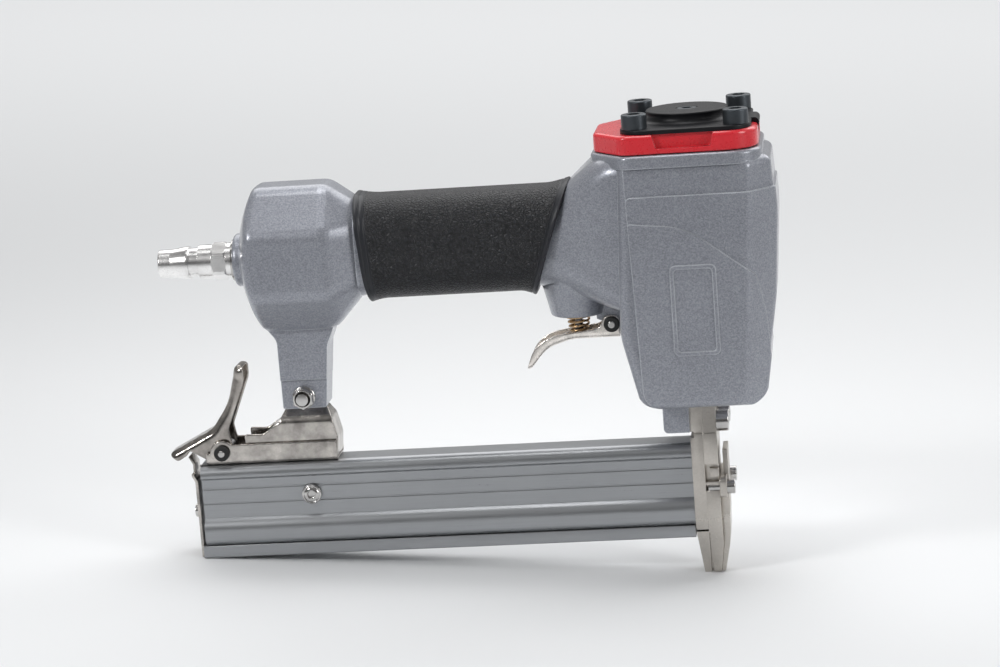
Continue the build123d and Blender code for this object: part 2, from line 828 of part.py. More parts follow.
def head_panels():
    # The head's flanks, the panel that steps out below their upper part, and the swept panel on it.
    low = (panel_rear(nose_length), nose_length)
    ahead_x = head_front_x + far
    swept_top_z = panel_top_z - sweep_rear_drop
    flank = [low, (ahead_x, nose_length), (ahead_x, head_top_z), (panel_rear(head_top_z), head_top_z)]
    plain = [low, (ahead_x, nose_length), (ahead_x, panel_top_z), (panel_rear(panel_top_z), panel_top_z)]
    swept = [low, (panel_front_x + sweep_low_reach, nose_length),
             (panel_front_x + sweep_knee_reach, panel_top_z - sweep_knee_drop),
             (panel_front_x - sweep_crest_setback, panel_top_z - sweep_crest_drop),
             (sweep_bend_x, panel_top_z - sweep_bend_drop), (panel_rear(swept_top_z), swept_top_z)]
    layers = [(flank, [head_low_corner, 0, 0, 0]), (plain, [head_low_corner, 0, 0, panel_corner]),
              (swept, [head_low_corner, 0, *sweep_radii])]
    panels = [head_block(i * panel_step, panel_overrun) & side_plate(outline, far, radius)
              for i, (outline, radius) in enumerate(layers)]
    return panels[0] + panels[1:]


def label_frame():
    # Bare raised frame on each flank.
    half_width = head_half_width + 2 * panel_step + label_frame_step
    rims = []
    for inset in (0, label_frame_rim):
        across = label_frame_half_width - inset
        up = label_frame_half_height - inset
        corners = [(-across, label_frame_z - up), (across, label_frame_z - up),
                   (across, label_frame_z + up), (-across, label_frame_z + up)]
        rims.append(side_plate(corners, half_width, label_frame_corner - inset / 2))
    frame = rims[0] - rims[1]
    return frame - box(-far, far, -head_half_width, head_half_width, 0, head_top_z)


def cap_prism(grow, z0, z1):
    # Plan of the cap, made larger by grow: square at the front, drawn in at the rear.
    half = [(cap_rear_x - grow, -cap_rear_half_width), (cap_rear_shoulder_x, -cap_half_width - grow),
            (cap_front_x + grow, -cap_half_width - grow)]
    round_off = [cap_rear_corner, cap_rear_corner, cap_front_corner]
    points = half + [(x, -y) for x, y in reversed(half)]
    return top_plate(points, z0, z1, round_off + round_off[::-1])


def tail_collar(grow):
    # Section of the handle behind the grip, made larger by grow.
    spread = rear_collar_spread + grow
    wide = handle_half_width + spread
    return section(grip_rear_x - rear_collar_setback, wide, handle_z - handle_half_height - spread,
                   handle_z + handle_half_height + spread, handle_round * wide, handle_round * wide)


def bell_section(x, inset=0.0):
    half_height = bell_half_height - inset
    return eight_sided(x, bell_half_width - inset, bell_z - half_height, bell_z + half_height,
                       bell_cut, bell_cut_low, bell_cut_high, bell_round - inset)


def cone_section(x, share, grow):
    # Section between the bell, at share 0, and just inside the handle's collar, at share 1.
    spread = rear_collar_spread + grow - cone_ledge
    wide = handle_half_width + spread
    high = handle_half_height + spread
    corner = handle_round * wide
    cut = corner * (2 - sqrt(2)) + cone_flat
    bell = [bell_half_width, bell_z - bell_half_height, bell_z + bell_half_height,
            bell_cut, bell_cut_low, bell_cut_high, bell_round]
    end = [wide, handle_z - high, handle_z + high, cut, cut, cut, corner]
    return eight_sided(x, *[(1 - share) * first + share * last for first, last in zip(bell, end)])


def tail_cone(grow):
    # Cone from the bell to just inside the handle's collar, bent in steps where it leaves the bell.
    end_x = grip_rear_x - rear_collar_setback
    sections = []
    for i in range(bell_crease_steps + 1):
        step = i / bell_crease_steps
        x = bell_front_x + bell_crease * (step ** 2 - (1 - step) ** 2)
        sections.append(cone_section(x, step ** 2 * bell_crease / (end_x - bell_front_x), grow))
    return loft(sections + [cone_section(end_x, 1, grow)], ruled=True)


def handle_core(grow):
    # Handle with its collar and its neck into the head, made larger by grow.
    low = handle_z - handle_half_height
    high = handle_z + handle_half_height

    def around(x, spread, z_low, z_high, share=handle_round):
        wide = handle_half_width + spread + grow
        return section(x, wide, z_low - grow, z_high + grow, share * wide, share * wide)

    start = around(grip_rear_x + grip_seat, 0, low, high)
    flat = around(neck_rear_x, 0, low, high)
    middle = around(neck_mid_x, neck_mid_spread, low - neck_mid_drop, high + neck_mid_rise)
    top = around(neck_top_x, neck_top_spread, low - neck_top_drop, head_top_z - neck_top_gap, neck_top_round)
    front = around(neck_front_x, neck_front_spread, low - neck_front_drop,
                   head_top_z - neck_front_gap, neck_front_round)
    core = loft([start, flat], ruled=True) + loft([flat, middle, top, front])
    return core + loft([tail_collar(grow), start], ruled=True)


def bell_shell(inset):
    # Tail bell, or its inside where it is inset by a wall.
    rear = bell_section(tail_rear_x - tail_dome_room, inset)
    tube = extrude(rear, amount=bell_length + tail_dome_room - bell_crease, dir=(1, 0, 0))
    dome = Pos(tail_rear_x + tail_dome_radius, 0, bell_z) * Sphere(tail_dome_radius - inset)
    return tube & dome


def tail_bell():
    # Bell with its cone, rounded at its rear rim.
    bell = bell_shell(0)
    rim = bell.faces().sort_by(Axis.X)[0].edges()
    return fillet(rim, bell_edge) + tail_cone(0)


def leg():
    top_z = bell_z - bell_half_height + leg_root_sink
    outline = [(leg_rear_x - leg_rear_spread, top_z), (leg_rear_x, top_z - leg_rear_spread_height),
               (leg_rear_x, leg_low_z), (leg_front_x, leg_low_z),
               (leg_front_x + leg_front_flare, top_z - leg_front_spread_height), (bell_front_x, top_z)]
    post = side_plate(outline, leg_half_width, [0, leg_rear_sweep, leg_edge, leg_edge, leg_front_sweep, 0])
    land = box(-far, far, leg_land_y, leg_half_width + over, leg_low_z - over, leg_low_z + leg_land_height)
    return post - both_sides(land)


def valve_boss(grow):
    # Drafted boss of the trigger valve under the handle, made larger by grow.
    root_z = handle_z - handle_half_height
    cone = Cone(boss_radius + grow, boss_radius + boss_draft + grow, root_z - boss_low_z, align=on_base)
    root = rod_z(boss_radius + boss_draft + grow, root_z, handle_z, trigger_valve_x)
    return Pos(trigger_valve_x, 0, boss_low_z) * cone + root


def pin_lug():
    # Tongue of the casting between the trigger's walls.
    rear_x = trigger_pin_x - pin_lug_setback
    front_x = head_rear_x + pin_lug_sink
    outline = [(rear_x, boss_low_z - pin_lug_rear_drop), (front_x, boss_low_z - pin_lug_front_drop),
               (front_x, boss_low_z + pin_lug_rise), (rear_x, boss_low_z + pin_lug_rise)]
    eye = rod_y(pin_lug_radius, -pin_lug_half_width, pin_lug_half_width, trigger_pin_x, trigger_pin_z)
    return side_plate(outline, pin_lug_half_width) + eye


def casting_bores():
    bores = rod_z(chamber_radius, collar_z, head_top_z + over)
    bores = bores + rod_z(chamber_radius - collar_shoulder, bumper_z + sleeve_seat_depth, collar_z)
    bores = bores + rod_z(sleeve_radius + ring_gap, bumper_z, bumper_z + sleeve_seat_depth)
    bores = bores + rod_z(driver_hole_radius, nose_length - over, bumper_z)
    airway_end_x = collar_shoulder - chamber_radius
    bores = bores + rod_x(handle_bore_radius, bell_front_x - bell_wall, airway_end_x, 0, handle_z)
    bores = bores + bell_shell(bell_wall)
    bores = bores + rod_x(inlet_radius, bush_start_x - over, bell_front_x, 0, inlet_z)
    return bores + rod_z(valve_body_radius + skin_gap, boss_low_z - over, handle_z, trigger_valve_x)


def casting_holes():
    holes = rod_y(trigger_pin_radius + pin_gap, -far, far, trigger_pin_x, trigger_pin_z)
    holes = holes + rod_y(leg_bolt_radius + screw_gap, -far, far, leg_bolt_x, leg_bolt_z)
    slot_half = post_tongue_half_width + slide_gap
    slot_inset = post_tongue_inset - slide_gap
    holes = holes + box(leg_rear_x + slot_inset, leg_front_x - slot_inset, -slot_half, slot_half,
                        leg_low_z - over, leg_low_z + post_tongue_height + slide_gap)
    for x, y in cap_screws_at:
        holes = holes + rod_z(cap_screw_radius + screw_gap, plate_top_z - cap_screw_length - over,
                              head_top_z + over, x, y)
    for y in (-nose_screw_offset, nose_screw_offset):
        holes = holes + rod_x(nose_screw_radius + screw_gap, guide_front_x - nose_screw_length - over,
                              seat_rear_x + over, y, nose_screw_z)
    return holes


def body_casting():
    turret = cap_prism(0, disc_low_z, head_top_z)
    flange = cap_prism(flange_step, head_top_z - flange_height, head_top_z)
    flange = fillet(flange.edges().group_by(Axis.Z)[-1], flange_step)
    nose_lug = box(seat_rear_x - lug_length, seat_rear_x, -lug_half_width, lug_half_width,
                   nose_length - lug_height, nose_length + head_floor)
    nose_lug = fillet(nose_lug.edges().filter_by(Axis.Y).group_by(Axis.Z)[0].sort_by(Axis.X)[0], lug_edge)
    boss = valve_boss(0)
    boss = fillet(boss.edges().group_by(Axis.Z)[0], boss_edge)
    inlet_boss = rod_x(inlet_boss_radius, bush_start_x, tail_rear_x + bell_wall, 0, inlet_z)
    inlet_boss = fillet(inlet_boss.edges().group_by(Axis.X)[0], inlet_boss_edge)
    body = head_block() + head_panels() + label_frame() + turret + flange + handle_core(0)
    body = body + tail_bell() + leg() + inlet_boss + boss + nose_lug + pin_lug()
    return body - casting_bores() - casting_holes()


def grip_sleeve():
    # Rubber sleeve, cut slantwise at both ends, with a small flare there.
    low = handle_z - handle_half_height - grip_wall
    high = handle_z + handle_half_height + grip_wall

    def ring(x, flare):
        wide = handle_half_width + grip_wall + flare
        return section(x, wide, low - flare, high + flare, handle_round * wide, handle_round * wide)

    rear_end = grip_rear_x - grip_rear_slant
    front_end = grip_front_x + grip_front_lead
    front_start = grip_front_x - grip_front_slant / 2 - grip_flare_length
    outside = loft([ring(rear_end, grip_flare), ring(rear_end + grip_flare_length, 0),
                    ring(front_start, 0), ring(front_end, grip_front_flare)], ruled=True)
    height = high - low
    between = side_plate([(grip_rear_x - grip_rear_slant, handle_z + height),
                          (grip_rear_x + grip_rear_slant, handle_z - height),
                          (grip_front_x - grip_front_slant, handle_z - height),
                          (grip_front_x + grip_front_slant, handle_z + height)], far)
    return (outside & between) - handle_core(skin_gap) - tail_cone(skin_gap) - valve_boss(skin_gap)


# Cap and exhaust

def cap_screw_holes(z0, z1):
    holes = [rod_z(cap_screw_radius + screw_gap, z0 - over, z1 + over, x, y) for x, y in cap_screws_at]
    return holes[0] + holes[1:]


def cap_gasket():
    sheet = cap_prism(-gasket_inset, head_top_z, cap_low_z)
    sheet = sheet - rod_z(chamber_radius, head_top_z - over, cap_low_z + over)
    return sheet - cap_screw_holes(head_top_z, cap_low_z)


def cylinder_cap():
    lid = cap_prism(0, cap_low_z, cap_top_z)
    lid = fillet(lid.edges().group_by(Axis.Z)[-1], cap_top_edge)
    lid = fillet(lid.edges().group_by(Axis.Z)[0], cap_low_edge)
    skirt_low_z = valve_low_z + valve_seal_thickness / 2
    lid = lid + rod_z(skirt_radius, skirt_low_z, cap_low_z + over)
    lid = lid - rod_z(skirt_radius - cap_skirt_wall, skirt_low_z - over, cap_ceiling_z)
    lid = lid - rod_z(drum_screw_radius + screw_gap, cap_ceiling_z - over, cap_top_z + over)
    port = rod_z(exhaust_port_radius, cap_ceiling_z - over, cap_top_z + over, exhaust_port_circle)
    for i in range(exhaust_ports):
        lid = lid - Rot(0, 0, 360 * i / exhaust_ports) * port
    low_half = cap_recess_half - cap_recess_draft
    recess = side_plate([(cap_recess_x - low_half, cap_low_z + cap_recess_rise),
                         (cap_recess_x + low_half, cap_low_z + cap_recess_rise),
                         (cap_recess_x + cap_recess_half, cap_top_z + over),
                         (cap_recess_x - cap_recess_half, cap_top_z + over)],
                        cap_half_width + over, [cap_recess_corner, cap_recess_corner, 0, 0])
    recess = recess - box(-far, far, cap_recess_depth - cap_half_width, cap_half_width - cap_recess_depth,
                          cap_low_z, cap_top_z + 2 * over)
    notch = box(cap_front_x - cap_notch_depth, cap_front_x + over,
                -cap_notch_half_width, cap_notch_half_width,
                cap_top_z - spout_drop - slide_gap, cap_top_z + over)
    return lid - recess - notch - cap_screw_holes(cap_low_z, cap_top_z)


def exhaust_spout():
    # Tongue that turns down over the front of the cap.
    lip_x = cap_front_x - cap_notch_depth + slide_gap
    foot_x = lip_x + spout_lean
    root_x = exhaust_front_x - spout_root
    low_z = cap_top_z - spout_drop
    outline = [(root_x, cap_top_z), (lip_x, cap_top_z), (foot_x, low_z), (foot_x + spout_sheet, low_z),
               (exhaust_front_x + spout_reach, plate_top_z), (root_x, plate_top_z)]
    foot_round = spout_sheet / 4
    return side_plate(outline, spout_half_width, [0, 0, foot_round, foot_round, spout_sheet, 0])


def exhaust_cover():
    corners = [(exhaust_rear_x, -exhaust_half_width), (exhaust_front_x, -exhaust_half_width),
               (exhaust_front_x, exhaust_half_width), (exhaust_rear_x, exhaust_half_width)]
    plate = top_plate(corners, cap_top_z, plate_top_z, exhaust_corner)
    plate = fillet(plate.edges().group_by(Axis.Z)[-1], exhaust_edge)
    foot_radius = drum_radius + drum_cove
    drum = rod_z(foot_radius, plate_top_z, drum_top_z)
    drum = drum - Pos(0, 0, plate_top_z + drum_cove) * Torus(foot_radius, drum_cove)
    drum = fillet(drum.edges().group_by(Axis.Z)[-1], drum_edge)
    cover = plate + drum + exhaust_spout()
    cover = cover - rod_z(drum_radius - drum_wall, cap_top_z - over, drum_top_z - drum_wall)
    cover = cover + rod_z(drum_screw_radius + drum_stud_wall, cap_top_z, drum_top_z - drum_wall / 2)
    cover = cover - rod_z(drum_screw_radius + screw_gap, cap_top_z - over, drum_top_z + over)
    cover = cover - rod_z(drum_screw_head_radius + screw_gap, drum_top_z - drum_screw_head_height,
                          drum_top_z + over)
    return cover - cap_screw_holes(cap_top_z, plate_top_z)


def cap_screws():
    screw = socket_screw(cap_screw_radius, cap_screw_head_radius, cap_screw_head_height,
                         cap_screw_length, cap_screw_socket)
    return [Pos(x, y, plate_top_z) * screw for x, y in cap_screws_at]


def drum_screw():
    length = drum_height + exhaust_sheet - drum_screw_head_height + drum_screw_reach
    screw = socket_screw(drum_screw_radius, drum_screw_head_radius, drum_screw_head_height,
                         length, drum_screw_socket)
    return Pos(0, 0, drum_top_z - drum_screw_head_height) * screw


# Head valve

def head_valve():
    disc = rod_z(valve_disc_radius, disc_low_z, disc_top_z)
    stem = rod_z(valve_stem_radius, disc_top_z, disc_top_z + valve_stem_height)
    return disc + stem - outer_groove(valve_disc_radius, (disc_low_z + disc_top_z) / 2)


def head_valve_seal():
    radius = valve_disc_radius - valve_seal_inset
    ring = rod_z(radius, valve_low_z, disc_low_z)
    return ring - rod_z(radius - valve_seal_band, valve_low_z - over, disc_low_z + over)


def head_valve_ring():
    return seal(valve_disc_radius, (disc_low_z + disc_top_z) / 2)


def head_valve_spring():
    start_z = disc_top_z + valve_spring_gap + valve_spring_wire / 2
    height = cap_ceiling_z - valve_spring_gap - valve_spring_wire / 2 - start_z
    spring = coil("head_valve_spring", valve_spring_wire, valve_spring_radius, valve_spring_radius,
                  height, valve_spring_turns)
    return Pos(0, 0, start_z) * spring


# Cylinder, piston and driver

def cylinder_sleeve():
    tube = rod_z(sleeve_radius, bumper_z, sleeve_top_z)
    tube = tube - rod_z(cylinder_radius, bumper_z - over, sleeve_top_z + over)
    tube = tube - outer_groove(sleeve_radius, bumper_z + sleeve_seat_depth / 2)
    port = rod_x(sleeve_port_radius, 0, sleeve_radius + over, 0, bumper_z + sleeve_port_rise)
    for i in range(sleeve_ports):
        tube = tube - Rot(0, 0, 360 * i / sleeve_ports) * port
    return tube


def sleeve_seal():
    return seal(sleeve_radius, bumper_z + sleeve_seat_depth / 2)


def sleeve_collar():
    radius = chamber_radius - ring_gap
    ring = rod_z(radius, collar_z, collar_z + collar_height)
    ring = ring - rod_z(sleeve_radius + ring_gap, collar_z - over, collar_z + collar_height + over)
    return ring - outer_groove(radius, collar_z + collar_height / 2)


def collar_seal():
    return seal(chamber_radius - ring_gap, collar_z + collar_height / 2)


def bumper():
    block = rod_z(cylinder_radius - slide_gap, bumper_z, bumper_z + bumper_height)
    block = fillet(block.edges().group_by(Axis.Z)[-1], bumper_edge)
    return block - rod_z(bumper_hole_radius, bumper_z - over, bumper_z + bumper_height + over)


def piston():
    radius = cylinder_radius - ring_gap
    disc = rod_z(radius, piston_low_z, piston_top_z) - outer_groove(radius, (piston_low_z + piston_top_z) / 2)
    half_x = blade_thickness / 2 + skin_gap
    half_y = blade_width / 2 + skin_gap
    return disc - box(-half_x, half_x, -half_y, half_y, piston_low_z - over, piston_low_z + blade_root)


def piston_ring():
    return seal(cylinder_radius - ring_gap, (piston_low_z + piston_top_z) / 2)


def driver_blade():
    half_x = blade_thickness / 2
    half_y = blade_width / 2
    return box(-half_x, half_x, -half_y, half_y, stroke - blade_reach, piston_low_z + blade_root)


# Air inlet

def inlet_bush():
    end_x = bush_start_x + bush_length
    tube = rod_x(inlet_radius - skin_gap, bush_start_x, end_x, 0, inlet_z)
    tube = tube + rod_x(inlet_radius - bush_flange_inset, plug_face_x, bush_start_x, 0, inlet_z)
    return tube - rod_x(plug_thread_radius + screw_gap, plug_face_x - over, end_x + over, 0, inlet_z)


def air_plug():
    # Turned profile from the thread out to the nose, with the hexagon added.
    hex_start_x = plug_face_x - plug_ring_length
    hex_end_x = hex_start_x - plug_hex_length
    steps = [(plug_ring_length, plug_ring_radius, plug_ring_radius),
             (plug_hex_length, plug_groove_radius, plug_groove_radius),
             (plug_collar_length, plug_collar_radius, plug_collar_radius),
             (plug_groove_length + plug_bulge_length / 2, plug_groove_radius, plug_groove_radius),
             (plug_bulge_length / 2, plug_bulge_radius, plug_bulge_radius),
             (plug_taper_length, plug_bulge_radius, plug_nose_radius),
             (plug_nose_length, plug_nose_radius, plug_nose_radius)]
    turned = rod_x(plug_thread_radius, plug_face_x, plug_face_x + plug_thread_length, 0, 0)
    x = plug_face_x
    for length, radius_start, radius_end in steps:
        if radius_start == radius_end:
            turned = turned + rod_x(radius_start, x - length, x, 0, 0)
        else:
            cone = Cone(radius_start, radius_end, length, align=on_base)
            turned = turned + Pos(x, 0, 0) * Rot(0, -90, 0) * cone
        x -= length
    turned = fillet(turned.edges().filter_by(GeomType.CIRCLE).group_by(Axis.X)[0], plug_nose_edge)
    nut = Pos(hex_end_x, 0, 0) * Rot(0, 90, 0) * hexagon(plug_hex, plug_hex_length)
    trim = rod_x(plug_hex / sqrt(3) - plug_hex_chamfer / 2, hex_end_x, hex_start_x, 0, 0)
    trim = chamfer(trim.edges().filter_by(GeomType.CIRCLE), plug_hex_chamfer)
    plug = turned + (nut & trim) - rod_x(plug_bore_radius, -far, far, 0, 0)
    return Pos(0, 0, inlet_z) * plug


# Trigger and trigger valve

def trigger_valve_body():
    tube = rod_z(valve_body_radius, boss_low_z, boss_low_z + valve_body_height)
    for rise in (valve_seal_rise, valve_body_height - valve_seal_rise):
        tube = tube - outer_groove(valve_body_radius, boss_low_z + rise, valve_wire)
    tube = tube - rod_z(stem_radius + slide_gap, boss_low_z - over, boss_low_z + valve_body_height + over)
    return Pos(trigger_valve_x, 0, 0) * tube


def trigger_valve_seals():
    rises = (valve_seal_rise, valve_body_height - valve_seal_rise)
    return [Pos(trigger_valve_x, 0, 0) * seal(valve_body_radius, boss_low_z + rise, valve_wire)
            for rise in rises]


def valve_stem():
    head_z = boss_low_z + valve_body_height + slide_gap
    top_z = head_z + stem_head_height
    shank = rod_z(stem_radius, trigger_web_top_z + slide_gap, top_z, trigger_valve_x)
    shank = fillet(shank.edges().group_by(Axis.Z)[0], stem_tip)
    return shank + rod_z(stem_head_radius, head_z, top_z, trigger_valve_x)


def trigger_spring():
    wire = trigger_spring_wire
    low_z = trigger_web_top_z + slide_gap + wire / 2
    height = boss_low_z - slide_gap - wire / 2 - low_z
    spring = coil("trigger_spring", wire, trigger_spring_low_radius, trigger_spring_top_radius,
                  height, trigger_spring_turns)
    return Pos(trigger_valve_x, 0, low_z) * spring


def trigger():
    # Pressed channel: two walls on the pin, and a web that curls down to the finger.
    corners = [(trigger_nose_low_x, trigger_nose_low_z), (trigger_bend_low_x, trigger_bend_low_z),
               (trigger_curl_low_x, trigger_curl_low_z), (trigger_tip_low_x, trigger_tip_low_z),
               (trigger_tip_high_x, trigger_tip_high_z), (trigger_curl_high_x, trigger_curl_high_z),
               (trigger_bend_high_x, trigger_bend_high_z), (trigger_wall_low_x, trigger_wall_low_z),
               (trigger_wall_top_x, trigger_wall_top_z), (trigger_nose_top_x, trigger_nose_top_z)]
    round_off = [trigger_edge, trigger_bend_sweep, trigger_curl_sweep, trigger_tip_round, trigger_tip_round,
                 trigger_curl_inner_sweep, trigger_bend_inner_sweep, trigger_wall_sweep,
                 trigger_wall_round, trigger_wall_round]
    outline = about(trigger_pin_x, trigger_pin_z, corners)
    sides = side_plate(outline, trigger_half_width, round_off)
    inner = trigger_half_width - trigger_sheet
    inside = Pos(0, 0, trigger_sheet) * side_plate(outline, inner, round_off)
    above = Pos(0, 0, trigger_room) * inside
    hole = rod_y(trigger_pin_radius + pin_gap, -far, far, trigger_pin_x, trigger_pin_z)
    return sides - inside - above - hole


def pin_with_rings(radius, x, z, half_width):
    half_length = half_width + ring_width + pin_tail
    pin = rod_y(radius, -half_length, half_length, x, z)
    return fillet(pin.edges().filter_by(GeomType.CIRCLE), pin_tail)


def retaining_rings(radius, x, z, half_width):
    ring = rod_y(ring_radius, half_width, half_width + ring_width, x, z)
    ring = fillet(ring.edges().filter_by(GeomType.CIRCLE), ring_edge)
    ring = ring - rod_y(radius + skin_gap, 0, far, x, z)
    return [ring, mirror(ring, Plane.XZ)]


# Nose

def nose_outline(low_z, tip_half):
    # Front view of the nose: narrow at the tip, wide in the middle, a little narrower at the top.
    half = [(tip_half, low_z), (guide_half_width, taper_height), (guide_half_width, neck_low_z),
            (neck_half_width, neck_low_z), (neck_half_width, nose_length)]
    return mirrored(half)


def nose_screw_holes():
    return [rod_x(nose_screw_radius + screw_gap, -far, far, y, nose_screw_z)
            for y in (-nose_screw_offset, nose_screw_offset)]


def magazine_seat_plate():
    taper = (guide_half_width - tip_half_width) / taper_height
    low_half = guide_half_width - taper * (taper_height - seat_plate_lift)
    plate = front_plate(nose_outline(seat_plate_lift, low_half), seat_rear_x, guide_rear_x)
    step_top_z = nose_length - lug_height
    plate = plate - box(seat_rear_x - over, seat_rear_x + seat_step, -far, far,
                        step_top_z - seat_step_height, step_top_z)
    plate = plate - box(-far, far, -brad_slot / 2, brad_slot / 2, seat_plate_lift - over, rail_top_z + over)
    return plate - nose_screw_holes()


def tip_groove(width, depth, height):
    # Groove up both tapering sides of the tip, forward from the guide's rear face.
    taper = (guide_half_width - tip_half_width) / taper_height
    low_half = tip_half_width - depth - taper * over
    high_half = tip_half_width - depth + taper * (height + over)
    core = mirrored([(low_half, -over), (high_half, height + over)])
    front_x = guide_rear_x + width
    slab = box(guide_rear_x, front_x, -guide_half_width - over, guide_half_width + over, -over, height)
    return slab - front_plate(core, guide_rear_x - over, front_x + over)


def driver_guide():
    heel_z = seat_plate_lift - tip_heel_drop
    profile = [(heel_x, 0), (guide_front_x - tip_front_cut, 0), (guide_front_x, tip_front_cut_height),
               (guide_front_x, nose_length), (guide_rear_x, nose_length), (guide_rear_x, heel_z),
               (guide_rear_x - tip_back, heel_z)]
    guide = front_plate(nose_outline(0, tip_half_width), -far, far) & side_plate(profile, far)
    pocket = box(-far, far, guide_half_width - pocket_depth, guide_half_width + over,
                 pocket_rise, pocket_rise + pocket_height)
    block_z = pocket_rise + (pocket_height - stop_block_size) / 2
    block = box(guide_front_x - stop_block_size, guide_front_x, guide_half_width - pocket_depth,
                guide_half_width - stop_block_inset, block_z, block_z + stop_block_size)
    guide = guide - both_sides(pocket) + both_sides(block)
    half_x = blade_thickness / 2 + blade_gap
    half_y = blade_width / 2 + blade_gap
    guide = guide - box(-half_x, half_x, -half_y, half_y, -over, nose_length + over)
    guide = guide - box(-far, 0, -brad_slot / 2, brad_slot / 2, heel_z, rail_top_z + over)
    for y in (-cover_screw_offset, cover_screw_offset):
        guide = guide - rod_x(cover_screw_radius + screw_gap, -far, far, y, cover_screw_z)
    guide = guide - tip_groove(seam_width, seam_depth, heel_z - seam_end)
    guide = guide - tip_groove(exit_notch_width, exit_notch_depth, exit_notch_height)
    return guide - nose_screw_holes()


def front_cover():
    ear_low_z = cover_screw_z - ear_half_height
    ear_top_z = cover_screw_z + ear_half_height
    leaf_x = cover_front_x - cover_leaf
    profile = [(guide_front_x - tip_front_cut, 0), (guide_front_x, 0),
               (cover_front_x - cover_shin_setback, cover_shin_z),
               (cover_front_x - cover_knee_setback, cover_knee_z), (cover_front_x, cover_screw_z),
               (cover_front_x, cover_top_z), (leaf_x, cover_top_z), (leaf_x, cover_screw_z + cover_leaf_root),
               (guide_front_x, cover_screw_z), (guide_front_x, tip_front_cut_height)]
    outline = mirrored([(cover_tip_half_width, 0), (cover_half_width, taper_height),
                        (cover_half_width, ear_low_z), (cover_leaf_half_width, ear_top_z),
                        (cover_leaf_half_width, cover_top_z)])
    cover = front_plate(outline, -far, far) & side_plate(profile, far)
    ear_x = guide_front_x + ear_thickness
    cover = cover + front_plate(mirrored([(ear_half_width, ear_low_z), (ear_half_width, ear_top_z)]),
                                guide_front_x, ear_x, ear_corner)
    for y in (-cover_screw_offset, cover_screw_offset):
        cover = cover - rod_x(cover_screw_radius + screw_gap, -far, far, y, cover_screw_z)
        cover = cover - rod_x(cover_screw_head_radius + screw_gap, ear_x, far, y, cover_screw_z)
    return cover


def cover_screws():
    length = ear_thickness + guide_thickness - cover_screw_land
    screw = socket_screw(cover_screw_radius, cover_screw_head_radius, cover_screw_head_height,
                         length, small_socket(cover_screw_radius))
    return [facing(guide_front_x + ear_thickness, y, cover_screw_z, (1, 0, 0)) * screw
            for y in (-cover_screw_offset, cover_screw_offset)]


def nose_screws():
    screw = socket_screw(nose_screw_radius, nose_screw_head_radius, nose_screw_head_height,
                         nose_screw_length, small_socket(nose_screw_radius))
    return [facing(guide_front_x, y, nose_screw_z, (1, 0, 0)) * screw
            for y in (-nose_screw_offset, nose_screw_offset)]


# Magazine

def fixed_magazine():
    side = magazine_half_width
    low_side = side + lower_bead_bulge
    high_side = side + upper_bead_bulge
    bead_z = magazine_low_z + lower_bead_height
    high_z = magazine_top_z - upper_bead_height
    outer = [(low_side - lower_bead_chamfer, magazine_low_z), (low_side, magazine_low_z + lower_bead_chamfer),
             (low_side, bead_z), (side, bead_z + lower_bead_slope), (side, high_z),
             (high_side, high_z + upper_bead_slope), (high_side, magazine_top_z)]
    edge = lower_bead_chamfer / 2
    round_off = [edge, lower_bead_chamfer, lower_bead_round, upper_bead_bulge / 4, upper_bead_bulge / 4,
                 upper_bead_slope / 2, magazine_shoulder]
    block = front_plate(mirrored(outer), magazine_rear_x, seat_rear_x, round_off + round_off[::-1])
    for drop in side_groove_drops:
        middle_z = magazine_top_z - drop
        groove = box(-far, far, side - side_groove_depth, side + over,
                     middle_z - side_groove_width / 2, middle_z + side_groove_width / 2)
        block = block - both_sides(groove)
    hollow = rail_half_width + slide_gap
    block = block - box(-far, far, -hollow, hollow, magazine_low_z - over, rail_top_z + 2 * slide_gap)
    key_z = foot_top_z + rail_key_rise
    key = box(magazine_rear_x, seat_rear_x, hollow - rail_key_depth, side, key_z, key_z + rail_key_height)
    block = block + both_sides(key)
    for x in channel_screws_x:
        block = block - rod_z(channel_screw_radius + screw_gap, magazine_top_z - channel_screw_length,
                              magazine_top_z + over, x)
    screw_z = magazine_top_z - side_screw_drop
    return block - rod_y(side_screw_radius + screw_gap, -far, 0, side_screw_x, screw_z)


def side_screw():
    screw = socket_screw(side_screw_radius, side_screw_head_radius, side_screw_head_height,
                         magazine_wall, small_socket(side_screw_radius))
    return facing(side_screw_x, -magazine_half_width, magazine_top_z - side_screw_drop, (0, -1, 0)) * screw


def movable_magazine():
    foot = box(end_face_x, rail_front_x, -foot_half_width, foot_half_width, nose_drop, foot_top_z)
    foot = fillet(foot.edges().filter_by(Axis.X).group_by(Axis.Z)[0], foot_edge)
    rail = foot + box(end_face_x, rail_front_x, -rail_half_width, rail_half_width, brad_low_z, rail_top_z)
    key_low_z = foot_top_z + rail_key_rise - slide_gap
    keyway = box(-far, far, rail_half_width - rail_key_depth, rail_half_width + over,
                 key_low_z, key_low_z + rail_key_height + 2 * slide_gap)
    rail = rail - both_sides(keyway)
    rail = rail - box(-far, far, -brad_slot / 2, brad_slot / 2, brad_low_z, rail_top_z + over)
    rail = rail - rod_x(spring_bore_radius, -far, far, 0, spring_axis_z)
    for y in (-end_screw_offset, end_screw_offset):
        rail = rail - rod_x(end_screw_radius + screw_gap, end_face_x - over, end_face_x + end_screw_length, y,
                            nose_drop + end_screw_rise)
    return rail


